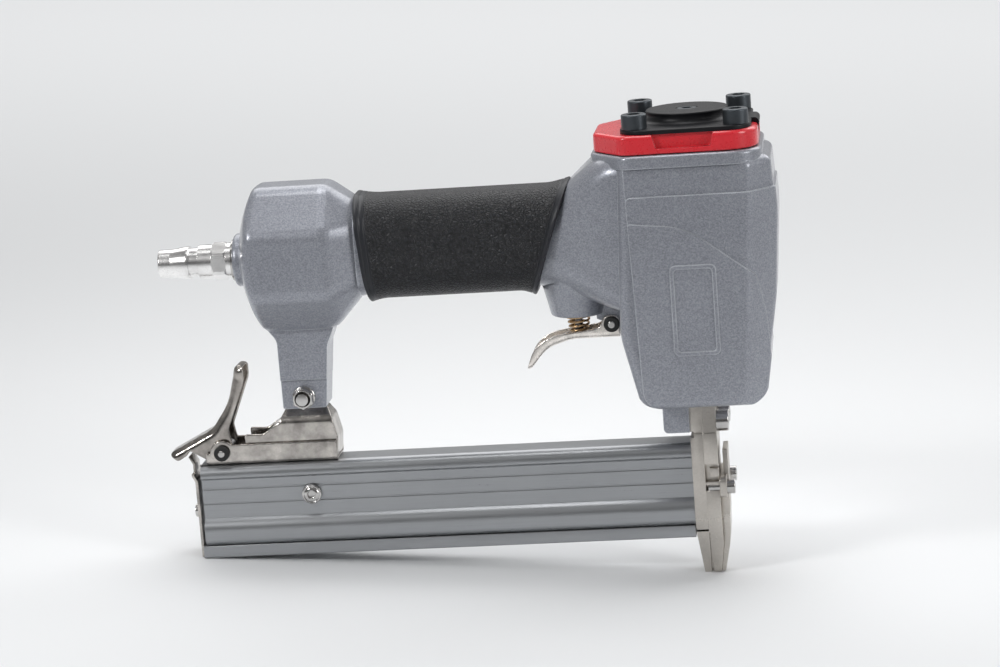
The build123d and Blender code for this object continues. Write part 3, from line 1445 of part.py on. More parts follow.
def end_plate():
    # Stamped sheet with a joggle below its leaning tab.
    bend_z = magazine_top_z - end_joggle_drop
    tab_x = end_face_x - end_joggle
    back = [(end_face_x, nose_drop + end_plate_lift), (end_face_x, bend_z),
            (tab_x, bend_z + end_joggle_height), (tab_x, magazine_top_z),
            (tab_x - end_tab_lean, magazine_top_z + end_tab_height)]
    face = [(x - end_plate_sheet, z) for x, z in reversed(back)]
    sheet = side_plate(back + face, end_plate_half_width)
    beside = box(-far, far, end_tab_half_width, far, magazine_top_z - end_tab_shoulder, far)
    sheet = sheet - both_sides(beside)
    for y in (-end_screw_offset, end_screw_offset):
        sheet = sheet - rod_x(end_screw_radius + screw_gap, -far, far, y, nose_drop + end_screw_rise)
    return sheet - rod_x(guide_rod_radius + pin_gap, -far, far, 0, spring_axis_z)


def end_plate_screws():
    screw = socket_screw(end_screw_radius, end_screw_head_radius, end_screw_head_height,
                         end_screw_length, small_socket(end_screw_radius))
    return [facing(end_face_x - end_plate_sheet, y, nose_drop + end_screw_rise, (-1, 0, 0)) * screw
            for y in (-end_screw_offset, end_screw_offset)]


def guide_rod():
    return rod_x(guide_rod_radius, end_face_x - end_plate_sheet, pusher_front_x, 0, spring_axis_z)


def brad_pusher():
    half = brad_slot / 2 - slide_gap
    plate = box(pusher_rear_x, pusher_front_x, -half, half, brad_low_z + slide_gap, rail_top_z)
    lug_front_x = pusher_front_x - pusher_setback
    lug = rod_x(spring_bore_radius - slide_gap, pusher_rear_x, lug_front_x, 0, spring_axis_z)
    return plate + lug - rod_x(guide_rod_radius + slide_gap, -far, far, 0, spring_axis_z)


def pusher_spring():
    radius = (spring_bore_radius + guide_rod_radius) / 2
    start_x = end_face_x + slide_gap + pusher_wire / 2
    length = pusher_rear_x - slide_gap - pusher_wire / 2 - start_x
    spring = coil("pusher_spring", pusher_wire, radius, radius, length, pusher_turns)
    return Pos(start_x, 0, spring_axis_z) * Rot(0, 90, 0) * spring


# Bracket and latch

def bracket_channel():
    # Folded sheet with two ears that hold the latch pin.
    rear_x = magazine_rear_x + channel_rear_setback
    top_z = magazine_top_z + channel_height
    channel = box(rear_x, channel_front_x, -channel_half_width, channel_half_width, magazine_top_z, top_z)
    channel = channel - box(-far, latch_pin_x, -far, far, latch_pin_z, far)
    channel = channel + rod_y(channel_ear_radius, -channel_half_width, channel_half_width,
                              latch_pin_x, latch_pin_z)
    channel = channel - box(-far, far, -channel_inner, channel_inner, magazine_top_z + channel_sheet, far)
    channel = channel - box(-far, far, -far, far, 0, magazine_top_z)
    channel = channel - rod_y(latch_pin_radius + pin_gap, -far, far, latch_pin_x, latch_pin_z)
    for x in channel_screws_x:
        channel = channel - rod_z(channel_screw_radius + screw_gap, 0, top_z, x)
    return channel


def channel_screws():
    screw = socket_screw(channel_screw_radius, channel_screw_head_radius, channel_screw_head_height,
                         channel_screw_length, small_socket(channel_screw_radius))
    return [Pos(x, 0, magazine_top_z + channel_sheet) * screw for x in channel_screws_x]


def bracket_post():
    # Folded sheet: a wide foot in the channel, a waist that draws in, and a tongue inside the leg.
    foot_z = magazine_top_z + channel_sheet
    waist_z = magazine_top_z + post_waist_height
    neck_z = waist_z + post_flare_height
    top_z = leg_low_z + post_tongue_height
    rear_x = leg_rear_x + post_neck_inset
    front_x = leg_front_x - post_neck_inset
    tongue_rear_x = leg_rear_x + post_tongue_inset
    tongue_front_x = leg_front_x - post_tongue_inset
    outline = [(post_rear_x, foot_z), (channel_front_x, foot_z),
               (channel_front_x + post_front_bulge, foot_z + post_front_bulge_rise),
               (front_x + post_front_shoulder, waist_z), (front_x, neck_z), (tongue_front_x, neck_z),
               (tongue_front_x, top_z), (tongue_rear_x, top_z), (tongue_rear_x, neck_z), (rear_x, neck_z),
               (rear_x - post_rear_shoulder, waist_z - post_rear_shoulder_drop),
               (rear_x - post_tail_setback, foot_z + post_tail_rise),
               (post_rear_x, foot_z + post_tail_end_rise)]
    soft = post_front_shoulder
    round_off = [0, post_neck_inset, soft, soft, post_neck_inset, post_neck_inset, soft, soft,
                 post_neck_inset, post_neck_inset, soft, 2 * soft, soft / 2]
    shell = side_plate(outline, post_half_width, round_off)
    half = [(post_half_width, 0), (post_half_width, waist_z), (post_tongue_half_width, neck_z),
            (post_tongue_half_width, far)]
    fold = [0, post_fold, post_fold, 0]
    shell = shell & front_plate(mirrored(half), -far, far, fold + fold[::-1])
    inner = post_half_width - post_sheet
    shell = shell - box(-far, channel_front_x - post_sheet, -inner, inner, 0, waist_z - post_roof)
    return shell - rod_y(leg_bolt_radius + screw_gap, -far, far, leg_bolt_x, leg_bolt_z)


def leg_bolt():
    length = 2 * leg_land_y + leg_nut_height + leg_bolt_tail
    bolt = socket_screw(leg_bolt_radius, leg_bolt_head_radius, leg_bolt_head_height,
                        length, small_socket(leg_bolt_radius))
    return facing(leg_bolt_x, leg_land_y, leg_bolt_z, (0, 1, 0)) * bolt


def leg_nut():
    blank = Cylinder(leg_nut_flats / sqrt(3), leg_nut_height, align=on_base)
    blank = chamfer(blank.edges().filter_by(GeomType.CIRCLE), leg_nut_chamfer)
    nut = hexagon(leg_nut_flats, leg_nut_height) & blank
    nut = nut - rod_z(leg_bolt_radius + skin_gap, -over, leg_nut_height + over)
    return facing(leg_bolt_x, -leg_land_y, leg_bolt_z, (0, -1, 0)) * nut


def latch_lever():
    # Pressed channel, open below: hooked tail, bent back and thumb rest, with walls on the pin.
    corners = [(latch_tail_x, latch_tail_z), (latch_back_x, latch_back_z), (latch_spine_x, latch_spine_z),
               (latch_nape_x, latch_nape_z), (latch_crown_rear_x, latch_crown_z),
               (latch_crown_front_x, latch_crown_z), (latch_thumb_x, latch_thumb_z),
               (latch_waist_x, latch_waist_z), (latch_shoulder_x, latch_shoulder_z),
               (latch_heel_x, latch_heel_z), (latch_belly_x, latch_heel_z), (latch_throat_x, latch_throat_z),
               (latch_hook_x, latch_hook_z), (latch_hook_tip_x, latch_hook_tip_z)]
    round_off = [latch_edge, latch_back_sweep, latch_spine_sweep, latch_nape_sweep, latch_crown_round,
                 latch_crown_round, latch_thumb_sweep, latch_waist_sweep, latch_waist_sweep, latch_heel_round,
                 latch_belly_round, latch_edge, latch_hook_edge, latch_hook_tip_round]
    outline = about(latch_pin_x, latch_pin_z, corners)
    lever = side_plate(outline, latch_half_width, round_off)
    room = side_plate(outline, latch_half_width - latch_sheet, round_off)
    near = Pos(latch_hollow_x, 0, -latch_hollow_z) * room
    below = Pos(latch_hollow_far * latch_hollow_x, 0, -latch_hollow_far * latch_hollow_z) * room
    lever = lever - near - below
    return lever - rod_y(latch_pin_radius + pin_gap, -far, far, latch_pin_x, latch_pin_z)


def latch_spring():
    # Torsion spring round the latch pin: one leg lies on the channel, the other under the lever.
    height = 2 * (latch_half_width - latch_sheet - latch_spring_room)
    lower_leg = latch_pin_rise - channel_sheet - slide_gap
    spring = coil("latch_spring", latch_spring_wire, latch_spring_radius, latch_spring_radius,
                  height, latch_spring_turns, lead=lower_leg, tail=latch_spring_leg)
    return Pos(latch_pin_x, height / 2, latch_pin_z) * Rot(90, 0, 0) * spring


# Assembly

def all_pieces():
    trigger_pin = (trigger_pin_radius, trigger_pin_x, trigger_pin_z, trigger_half_width)
    latch_pin = (latch_pin_radius, latch_pin_x, latch_pin_z, channel_half_width)
    return {
        "body_casting": body_casting(),
        "grip_sleeve": grip_sleeve(),
        "cap_gasket": cap_gasket(),
        "cylinder_cap": cylinder_cap(),
        "exhaust_cover": exhaust_cover(),
        "cap_screws": cap_screws(),
        "drum_screw": drum_screw(),
        "head_valve": head_valve(),
        "head_valve_seal": head_valve_seal(),
        "head_valve_ring": head_valve_ring(),
        "head_valve_spring": head_valve_spring(),
        "cylinder_sleeve": cylinder_sleeve(),
        "sleeve_seal": sleeve_seal(),
        "sleeve_collar": sleeve_collar(),
        "collar_seal": collar_seal(),
        "bumper": bumper(),
        "piston": piston(),
        "piston_ring": piston_ring(),
        "driver_blade": driver_blade(),
        "inlet_bush": inlet_bush(),
        "air_plug": air_plug(),
        "trigger_valve_body": trigger_valve_body(),
        "trigger_valve_seals": trigger_valve_seals(),
        "valve_stem": valve_stem(),
        "trigger_spring": trigger_spring(),
        "trigger": trigger(),
        "trigger_pin": pin_with_rings(*trigger_pin),
        "trigger_pin_rings": retaining_rings(*trigger_pin),
        "magazine_seat_plate": magazine_seat_plate(),
        "driver_guide": driver_guide(),
        "front_cover": front_cover(),
        "cover_screws": cover_screws(),
        "nose_screws": nose_screws(),
        "fixed_magazine": fixed_magazine(),
        "side_screw": side_screw(),
        "movable_magazine": movable_magazine(),
        "end_plate": end_plate(),
        "end_plate_screws": end_plate_screws(),
        "guide_rod": guide_rod(),
        "brad_pusher": brad_pusher(),
        "pusher_spring": pusher_spring(),
        "bracket_channel": bracket_channel(),
        "channel_screws": channel_screws(),
        "bracket_post": bracket_post(),
        "leg_bolt": leg_bolt(),
        "leg_nut": leg_nut(),
        "latch_lever": latch_lever(),
        "latch_pin": pin_with_rings(*latch_pin),
        "latch_pin_rings": retaining_rings(*latch_pin),
        "latch_spring": latch_spring(),
    }


def standing_place(pieces):
    # Turn about Y that brings the heel of the tip and the rear of the foot level, then the move
    # that puts the floor at z = 0 and the middle of the tool's box over the origin.
    lean = Rot(0, -degrees(atan2(nose_drop, heel_x - end_face_x)), 0)
    boxes = [(lean * piece).bounding_box() for piece in pieces]
    middle_x = (min(b.min.X for b in boxes) + max(b.max.X for b in boxes)) / 2
    middle_y = (min(b.min.Y for b in boxes) + max(b.max.Y for b in boxes)) / 2
    return Pos(-middle_x, -middle_y, -min(b.min.Z for b in boxes)) * lean


def main():
    groups = {}
    for name, piece in all_pieces().items():
        shapes = piece if isinstance(piece, list) else [piece]
        groups[name] = Compound(children=[solid for shape in shapes for solid in shape.solids()])
    place = standing_place(groups.values())
    os.makedirs("parts", exist_ok=True)
    for name, group in groups.items():
        standing = [place * solid for solid in group.solids()]
        shape = standing[0] if len(standing) == 1 else Compound(children=standing)
        export_step(shape, f"parts/{name}.step")
    print("pieces", len(groups))


if __name__ == "__main__":
    main()
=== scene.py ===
import json
import math

import bmesh
import bpy
from mathutils import Matrix, Vector

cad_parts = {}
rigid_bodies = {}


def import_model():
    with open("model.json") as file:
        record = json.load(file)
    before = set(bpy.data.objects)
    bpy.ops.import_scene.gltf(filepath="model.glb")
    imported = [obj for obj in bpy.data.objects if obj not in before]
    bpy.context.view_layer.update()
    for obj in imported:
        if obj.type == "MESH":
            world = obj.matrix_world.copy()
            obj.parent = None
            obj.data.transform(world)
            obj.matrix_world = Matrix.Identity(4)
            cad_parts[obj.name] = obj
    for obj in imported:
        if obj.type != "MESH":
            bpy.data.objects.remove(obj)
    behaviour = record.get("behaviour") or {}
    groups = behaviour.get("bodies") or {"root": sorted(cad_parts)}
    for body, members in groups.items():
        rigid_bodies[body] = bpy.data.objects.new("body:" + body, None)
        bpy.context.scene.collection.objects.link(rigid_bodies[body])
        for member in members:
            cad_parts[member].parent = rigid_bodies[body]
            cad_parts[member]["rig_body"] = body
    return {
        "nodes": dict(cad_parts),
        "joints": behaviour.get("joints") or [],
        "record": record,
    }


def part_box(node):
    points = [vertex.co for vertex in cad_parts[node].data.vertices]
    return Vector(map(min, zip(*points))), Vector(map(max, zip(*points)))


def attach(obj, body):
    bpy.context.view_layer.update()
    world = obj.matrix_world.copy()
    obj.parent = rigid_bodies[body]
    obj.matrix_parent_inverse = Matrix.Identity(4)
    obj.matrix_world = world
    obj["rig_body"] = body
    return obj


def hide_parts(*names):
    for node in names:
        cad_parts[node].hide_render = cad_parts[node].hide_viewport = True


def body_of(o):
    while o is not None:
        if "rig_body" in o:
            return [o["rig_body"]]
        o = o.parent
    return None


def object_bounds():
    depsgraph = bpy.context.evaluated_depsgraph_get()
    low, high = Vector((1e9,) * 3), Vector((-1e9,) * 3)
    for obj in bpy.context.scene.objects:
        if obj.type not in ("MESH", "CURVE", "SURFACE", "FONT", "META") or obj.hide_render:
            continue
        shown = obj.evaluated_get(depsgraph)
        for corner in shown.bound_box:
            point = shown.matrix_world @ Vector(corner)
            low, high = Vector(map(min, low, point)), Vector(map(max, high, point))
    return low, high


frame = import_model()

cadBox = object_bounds()
nodes = frame["nodes"]
joints = {joint["name"]: joint for joint in frame["joints"]}
mounts = {mount["name"]: mount for mount in frame["record"]["mounts"]}
mm = 0.001
print("frame loaded,", len(nodes), "nodes")

# The tool leans a little on the floor: its own up runs along the driver, from the nose tip.
toolUp = -Vector(joints["driver_stroke"]["axis"]).normalized()
toolSide = Vector((0, 1, 0))
toolAhead = toolSide.cross(toolUp)
bladeMiddle = (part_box("driver_blade")[0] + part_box("driver_blade")[1]) / 2
muzzle = Vector(mounts["muzzle_face"]["pos_m"])
noseTip = bladeMiddle + toolUp * (muzzle - bladeMiddle).dot(toolUp)
toolSpace = Matrix((toolAhead, toolSide, toolUp)).transposed().to_4x4()
toolSpace.translation = noseTip
toolTurn = (0, math.atan2(toolAhead.z, toolAhead.x), 0)


# Shader maths

class Wire:      # a shader socket that takes part in plain arithmetic
    def __init__(self, tree, socket=None):
        self.tree, self.socket = tree, socket

    def node(self, kind, settings, sockets, out=0):
        made = self.tree.nodes.new("ShaderNode" + kind)
        for key, value in settings.items():      # first, because they decide which sockets there are
            if key == "stops":
                ramp = made.color_ramp.elements
                while len(ramp) < len(value):
                    ramp.new(1.0)
                for stop, (place, tone) in zip(ramp, value):
                    stop.position, stop.color = place, tone
            else:
                setattr(made, key, value)
        for key, value in sockets.items():
            if isinstance(value, Wire):
                self.tree.links.new(value.socket, made.inputs[key])
            else:
                made.inputs[key].default_value = value
        return Wire(self.tree, made.outputs[out])

    def maths(self, operation, first, second):
        return self.node("Math", {"operation": operation}, {0: first, 1: second})

    def __add__(self, other):
        return self.maths("ADD", self, other)

    def __radd__(self, other):
        return self.maths("ADD", other, self)

    def __sub__(self, other):
        return self.maths("SUBTRACT", self, other)

    def __rsub__(self, other):
        return self.maths("SUBTRACT", other, self)

    def __mul__(self, other):
        return self.maths("MULTIPLY", self, other)

    def __rmul__(self, other):
        return self.maths("MULTIPLY", other, self)


def newFinish(name, **constants):
    made = bpy.data.materials.new(name)
    made.use_nodes = True
    shader = made.node_tree.nodes["Principled BSDF"]
    for key, value in constants.items():
        shader.inputs[key.replace("_", " ")].default_value = value
    return made, Wire(made.node_tree), shader


def feed(wire, shader, **links):
    for key, value in links.items():
        wire.tree.links.new(value.socket, shader.inputs[key.replace("_", " ")])


def objectPlace(wire, stretch=(1, 1, 1), turn=(0, 0, 0)):
    place = wire.node("TexCoord", {}, {}, "Object")
    return wire.node("Mapping", {}, {"Vector": place, "Rotation": turn, "Scale": stretch})


def noise(wire, place, scale, detail=2.0, rough=0.5):
    sockets = {"Vector": place, "Scale": scale, "Detail": detail, "Roughness": rough}
    return wire.node("TexNoise", {}, sockets, "Fac")


def cells(wire, place, scale, feature="F1", out="Distance"):
    return wire.node("TexVoronoi", {"feature": feature}, {"Vector": place, "Scale": scale}, out)


def between(wire, value, low, high, toLow=0.0, toHigh=1.0):      # a clamped stretch of a value's range
    return wire.node("MapRange", {"clamp": True}, {"Value": value, "From Min": low, "From Max": high,
                                                   "To Min": toLow, "To Max": toHigh})


def mixTone(wire, share, first, second):
    return wire.node("Mix", {"data_type": "RGBA"}, {0: share, 6: first, 7: second}, 2)


def softNormal(wire, radius, samples=6):      # edges rounded in the shading
    return wire.node("Bevel", {"samples": samples}, {"Radius": radius})


def edgeMask(wire, soft, gain):      # 1 along the edges, 0 on open faces
    plain = wire.node("NewGeometry", {}, {}, "Normal")
    same = wire.node("VectorMath", {"operation": "DOT_PRODUCT"}, {0: soft, 1: plain}, "Value")
    return between(wire, 1 - same, 0.01, 0.01 + 1.0 / gain)


def bumped(wire, height, depth, normal, strength=1.0):
    sockets = {"Height": height, "Distance": depth, "Strength": strength, "Normal": normal}
    return wire.node("Bump", {}, sockets)


def grey(level, warm=0.0):
    return (level * (1 + warm), level, level * (1 - warm), 1)


# Finishes

hammer = {"dark": (0.225, 0.236, 0.270, 1), "tone": (0.292, 0.305, 0.345, 1),
          "light": (0.360, 0.374, 0.418, 1), "edge": (0.71, 0.74, 0.79, 1), "fleck": 2400, "dent": 1500,
          "depth": 0.050 * mm, "round": 0.60 * mm}


def hammertonePaint():
    made, wire, shader = newFinish("hammertonePaint", Metallic=0.35, Coat_Weight=0.60, Coat_Roughness=0.12)
    place = objectPlace(wire)
    flecks = wire.node("SeparateColor", {}, {"Color": cells(wire, place, hammer["fleck"], out="Color")}, 0)
    dents = noise(wire, place, hammer["dent"], 2.0)
    clouds = noise(wire, place, 45, 3.0)
    shade = flecks * 0.34 + dents * 0.46 + clouds * 0.20
    stops = [(0.30, hammer["dark"]), (0.50, hammer["tone"]), (0.70, hammer["light"])]
    tone = wire.node("ValToRGB", {"stops": stops}, {"Fac": shade})
    soft = softNormal(wire, hammer["round"])
    # edges are painted lighter: a painted highlight along convex and concave edges alike, partly paint
    # thinning over raised edges
    edgeSheenAndWear = edgeMask(wire, soft, 7) * between(wire, clouds, 0.35, 0.65, 0.45, 0.90)
    tone = mixTone(wire, edgeSheenAndWear, tone, hammer["edge"])
    rough = between(wire, dents, 0.3, 0.7, 0.32, 0.42)
    dented = bumped(wire, dents, hammer["depth"], soft, 0.8)
    feed(wire, shader, Base_Color=tone, Roughness=rough, Normal=dented)
    return made


rubber = {"tone": (0.016, 0.0175, 0.022, 1), "crease": (0.003, 0.003, 0.004, 1), "grain": 800,
          "wobble": 1.2 * mm, "depth": 0.30 * mm, "round": 0.3 * mm}


def grainedRubber():
    made, wire, shader = newFinish("grainedRubber", Specular_IOR_Level=0.42)
    place = objectPlace(wire)
    wobble = wire.node("TexNoise", {}, {"Vector": place, "Scale": 380, "Detail": 1.0}, "Color")
    swing = (rubber["wobble"],) * 3
    warped = wire.node("VectorMath", {"operation": "MULTIPLY_ADD"}, {0: wobble, 1: swing, 2: place})
    pads = between(wire, cells(wire, warped, rubber["grain"], "DISTANCE_TO_EDGE"), 0.02, 0.30)
    plain = wire.node("Attribute", {"attribute_name": "rim"}, {}, "Fac")
    fine = noise(wire, place, 3400, 2.0)
    height = (pads * 0.8 + fine * 0.3) * (1 - plain) + fine * plain * 0.12
    # the grain's creases are painted darker than its pads: painted shade in the creases
    tone = mixTone(wire, between(wire, pads + plain, 0.0, 1.0), rubber["crease"], rubber["tone"])
    rough = between(wire, fine, 0.3, 0.7, 0.36, 0.48)
    soft = softNormal(wire, rubber["round"])
    feed(wire, shader, Base_Color=tone, Roughness=rough, Normal=bumped(wire, height, rubber["depth"], soft))
    return made


def mattRubber():
    made, wire, shader = newFinish("mattRubber", Specular_IOR_Level=0.4)
    place = objectPlace(wire)
    grain = noise(wire, place, 2600, 2.0)
    tone = mixTone(wire, noise(wire, place, 240), grey(0.012), grey(0.022))
    feed(wire, shader, Base_Color=tone, Roughness=between(wire, grain, 0.3, 0.7, 0.50, 0.66),
         Normal=bumped(wire, grain, 0.02 * mm, softNormal(wire, 0.25 * mm)))
    return made


redCoat = {"tone": (0.760, 0.026, 0.040, 1), "shade": (0.710, 0.022, 0.034, 1),
           "edge": (0.88, 0.12, 0.15, 1)}


def redPaint():
    made, wire, shader = newFinish("redPaint", Coat_Weight=0.45, Coat_Roughness=0.09)
    place = objectPlace(wire)
    peel = noise(wire, place, 700, 1.0)
    clouds = noise(wire, place, 60, 3.0)
    soft = softNormal(wire, 0.45 * mm)
    tone = mixTone(wire, clouds, redCoat["shade"], redCoat["tone"])
    # edges are painted lighter: a painted highlight
    tone = mixTone(wire, edgeMask(wire, soft, 5) * 0.5, tone, redCoat["edge"])
    feed(wire, shader, Base_Color=tone, Roughness=between(wire, peel, 0.3, 0.7, 0.26, 0.33), Normal=soft)
    return made


plastic = {"tone": (0.010, 0.010, 0.012, 1), "dust": (0.026, 0.026, 0.029, 1), "grain": 1800,
           "depth": 0.010 * mm, "round": 0.4 * mm}


def blackPlastic():
    made, wire, shader = newFinish("blackPlastic", Specular_IOR_Level=0.22)
    place = objectPlace(wire)
    fine = noise(wire, place, plastic["grain"], 2.0)
    dust = between(wire, noise(wire, place, 380, 4.0, 0.7), 0.58, 0.75)
    tone = mixTone(wire, dust * 0.4, plastic["tone"], plastic["dust"])
    feed(wire, shader, Base_Color=tone, Roughness=between(wire, fine, 0.3, 0.7, 0.34, 0.44) + dust * 0.06,
         Normal=bumped(wire, fine, plastic["depth"], softNormal(wire, plastic["round"])))
    return made


def platedMetal(name, tone, rough, spread, cloud=90, vary=0.12, grain=2400, stretch=(1, 1, 1), depth=0.006,
                rounding=0.25, warm=0.0, edge=0.10, metallic=1.0):
    # one plated or bare metal: its tone clouds a little, its grain breaks the gloss, its edges are painted
    # lighter, a painted highlight
    made, wire, shader = newFinish(name, Metallic=metallic)
    place = objectPlace(wire, stretch, toolTurn)
    clouds = noise(wire, objectPlace(wire), cloud, 4.0, 0.6)
    fine = noise(wire, place, grain, 3.0, 0.6)
    soft = softNormal(wire, rounding * mm)
    low, high = tone * (1 - vary), min(tone * (1 + vary), 0.95)
    colour = mixTone(wire, between(wire, clouds, 0.35, 0.65), grey(low, warm), grey(high, warm))
    colour = mixTone(wire, edgeMask(wire, soft, 5) * edge, colour, grey(min(tone * 1.5, 0.95), warm))
    gloss = between(wire, fine * 0.6 + clouds * 0.4, 0.35, 0.65, rough - spread, rough + spread)
    feed(wire, shader, Base_Color=colour, Roughness=gloss, Normal=bumped(wire, fine, depth * mm, soft))
    return made


# coarse and polished are heights over the nose tip, where each begins and where it is complete
nickel = {"low": (0.38, 0.355, 0.325, 1), "high": (0.74, 0.70, 0.65, 1), "edge": (0.86, 0.83, 0.79, 1),
          "coarse": (60 * mm, 63 * mm), "polished": (26 * mm, 23 * mm), "pits": 1100, "fine": 3200,
          "depth": 0.15 * mm, "round": 0.30 * mm}


def blastedNickel():      # coarse bead blasting on the nose's head, finer below it, polished at the tip
    made, wire, shader = newFinish("blastedNickel", Metallic=1.0)
    place = objectPlace(wire)
    height = wire.node("VectorMath", {"operation": "DOT_PRODUCT"}, {0: place, 1: tuple(toolUp)}, "Value")
    height = height - noseTip.dot(toolUp)
    coarse = between(wire, height, *nickel["coarse"])
    polished = between(wire, height, *nickel["polished"])
    pits = noise(wire, place, nickel["pits"], 3.0, 0.6)
    fine = noise(wire, place, nickel["fine"], 2.0, 0.6)
    clouds = noise(wire, place, 110, 4.0, 0.6)
    soft = softNormal(wire, nickel["round"])
    tone = mixTone(wire, clouds * 0.6 + pits * 0.4, nickel["low"], nickel["high"])
    # edges are painted lighter: a painted highlight on the plates' rims
    tone = mixTone(wire, edgeMask(wire, soft, 5) * 0.5, tone, nickel["edge"])
    rough = between(wire, pits, 0.3, 0.7, 0.30, 0.42) + coarse * 0.06 - polished * 0.14
    grain = pits * coarse + fine * (1 - coarse) * (1 - polished * 0.7) * 0.25
    feed(wire, shader, Base_Color=tone, Roughness=rough, Normal=bumped(wire, grain, nickel["depth"], soft))
    return made


extrusion = {"low": (0.31, 0.32, 0.335, 1), "high": (0.42, 0.43, 0.445, 1), "lines": 2600,
             "stretch": (0.02, 1, 1), "etch": 3000, "depth": 0.010 * mm, "round": 0.3 * mm}


def extrudedAluminium():      # fine lines along the length
    made, wire, shader = newFinish("extrudedAluminium", Metallic=0.85)
    place = objectPlace(wire, (1, 1, 1), toolTurn)
    stretched = wire.node("Mapping", {}, {"Vector": place, "Scale": extrusion["stretch"]})
    lines = noise(wire, stretched, extrusion["lines"], 3.0, 0.6)
    etch = noise(wire, place, extrusion["etch"], 2.0)
    clouds = noise(wire, place, 30, 3.0)
    tone = mixTone(wire, lines * 0.6 + clouds * 0.4, extrusion["low"], extrusion["high"])
    soft = softNormal(wire, extrusion["round"])
    rough = between(wire, lines * 0.5 + etch * 0.5, 0.3, 0.7, 0.27, 0.40)
    drawn = bumped(wire, lines + etch * 0.3, extrusion["depth"], soft)
    feed(wire, shader, Base_Color=tone, Roughness=rough, Normal=drawn)
    return made


def valvePlastic():
    made, wire, shader = newFinish("valvePlastic", Specular_IOR_Level=0.4)
    place = objectPlace(wire)
    clouds = noise(wire, place, 120, 3.0)
    feed(wire, shader, Base_Color=mixTone(wire, clouds, (0.66, 0.65, 0.60, 1), (0.76, 0.75, 0.71, 1)),
         Roughness=between(wire, noise(wire, place, 2000), 0.3, 0.7, 0.40, 0.52),
         Normal=softNormal(wire, 0.3 * mm))
    return made


finishes = {
    "hammertone_grey": hammertonePaint(),
    "grip_rubber": grainedRubber(),
    "red_paint": redPaint(),
    "black_plastic": blackPlastic(),
    "seal_rubber": mattRubber(),
    "valve_plastic": valvePlastic(),
    "anodised_aluminium": extrudedAluminium(),
    "satin_nickel": blastedNickel(),
    "black_oxide": platedMetal("blackOxide", 0.085, 0.36, 0.07, depth=0.010, warm=-0.12, edge=0.9,
                               metallic=0.7),
    "spring_steel": platedMetal("springSteel", 0.42, 0.26, 0.06),
    "machined_aluminium": platedMetal("machinedAluminium", 0.60, 0.30, 0.06, stretch=(1, 1, 8)),
    "hardened_steel": platedMetal("hardenedSteel", 0.34, 0.28, 0.06),
    "brass": platedMetal("brassWire", 0.40, 0.28, 0.08, warm=0.42),
    "bright_nickel": platedMetal("brightNickel", 0.88, 0.24, 0.05, warm=0.01, depth=0.003),
    "pin_steel": platedMetal("pinSteel", 0.48, 0.22, 0.06, warm=0.02),
    "zinc_screw": platedMetal("zincScrew", 0.56, 0.18, 0.05, warm=0.02),
    "nickel_sheet": platedMetal("nickelSheet", 0.46, 0.22, 0.07, warm=0.06, cloud=125, vary=0.35),
}
# the trigger's copy of the nickel sheet is painted about twice as light to make up for the shade it sits in
# under the handle, and the lever's a little darker than the sheet for the light it catches: painted light
# and shade
ownFinish = {
    "inlet_bush": platedMetal("inletSteel", 0.52, 0.20, 0.05, warm=0.02),
    "trigger": platedMetal("triggerNickel", 0.90, 0.26, 0.07, warm=0.06, cloud=125, vary=0.35),
    "latch_lever": platedMetal("leverNickel", 0.40, 0.17, 0.06, warm=0.07, cloud=110, vary=0.35),
}
slotOf = {sub["node"]: sub["material_slot"] for sub in frame["record"]["subparts"]}
bodyOf = {name: body_of(node)[0] for name, node in nodes.items()}
finishOf = {name: ownFinish.get(name) or finishes[slotOf[name]] for name in nodes}
for name, node in nodes.items():
    node.data.materials.clear()
    node.data.materials.append(finishOf[name])
print("finishes set,", len(finishes))


# Pieces that stand in for their CAD nodes; new shapes are drawn in the tool's own millimetres

def settle(shape, name, node, sharp):      # a finished shape moves from the tool's millimetres to the frame
    bmesh.ops.transform(shape, matrix=toolSpace @ Matrix.Scale(mm, 4), verts=shape.verts)
    bmesh.ops.recalc_face_normals(shape, faces=shape.faces)
    mesh = bpy.data.meshes.new(name)
    shape.to_mesh(mesh)
    shape.free()
    return hangPiece(mesh, name, node, sharp)


def hangPiece(mesh, name, node, sharp):      # a mesh takes the body and finish of its node
    mesh.polygons.foreach_set("use_smooth", [True] * len(mesh.polygons))
    mesh.set_sharp_from_angle(angle=math.radians(sharp))
    mesh.materials.clear()
    mesh.materials.append(finishOf[node])
    piece = bpy.data.objects.new(name, mesh)
    bpy.context.scene.collection.objects.link(piece)
    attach(piece, bodyOf[node])
    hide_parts(node)
    print(name, "made,", len(mesh.polygons), "faces")
    return piece


# flat, arc and top are the steps round a quarter of its section, lipSteps and middleSteps those along it;
# groove is both the depth and the half width of a line round its end
grip = {"axis": 141.5, "rear": -133.2, "front": -56.3, "rearLean": -1.85, "frontLean": 7.3,
        "halfWidth": 18.0, "halfHeight": 20.9, "corner": 14.4, "wall": 2.5, "rearFlare": 1.4,
        "frontFlare": 2.1, "flareRun": 8.0, "flareCurve": 1.6, "lip": 0.9, "groove": 0.28,
        "rearLines": (1.9, 3.7), "frontLines": (2.2,), "plainRun": 0.9, "flat": 5, "arc": 24, "top": 3,
        "lipSteps": 5, "middleSteps": 8}


def gripCorner(step, grow):      # one point of the grip's rounded section, counted round from its side
    quarter = grip["flat"] + grip["arc"] + grip["top"]
    turn, along = divmod(step, quarter)
    along = quarter - along if turn % 2 else along
    wide, high, bend = grip["halfWidth"] + grow, grip["halfHeight"] + grow, grip["corner"] + grow
    if along <= grip["flat"]:
        y, z = wide, (high - bend) * along / grip["flat"]
    elif along <= grip["flat"] + grip["arc"]:
        angle = math.pi / 2 * (along - grip["flat"]) / grip["arc"]
        y, z = wide - bend + bend * math.cos(angle), high - bend + bend * math.sin(angle)
    else:
        y, z = (wide - bend) * (quarter - along) / grip["top"], high
    return (y if turn in (0, 3) else -y), (z if turn in (0, 1) else -z)


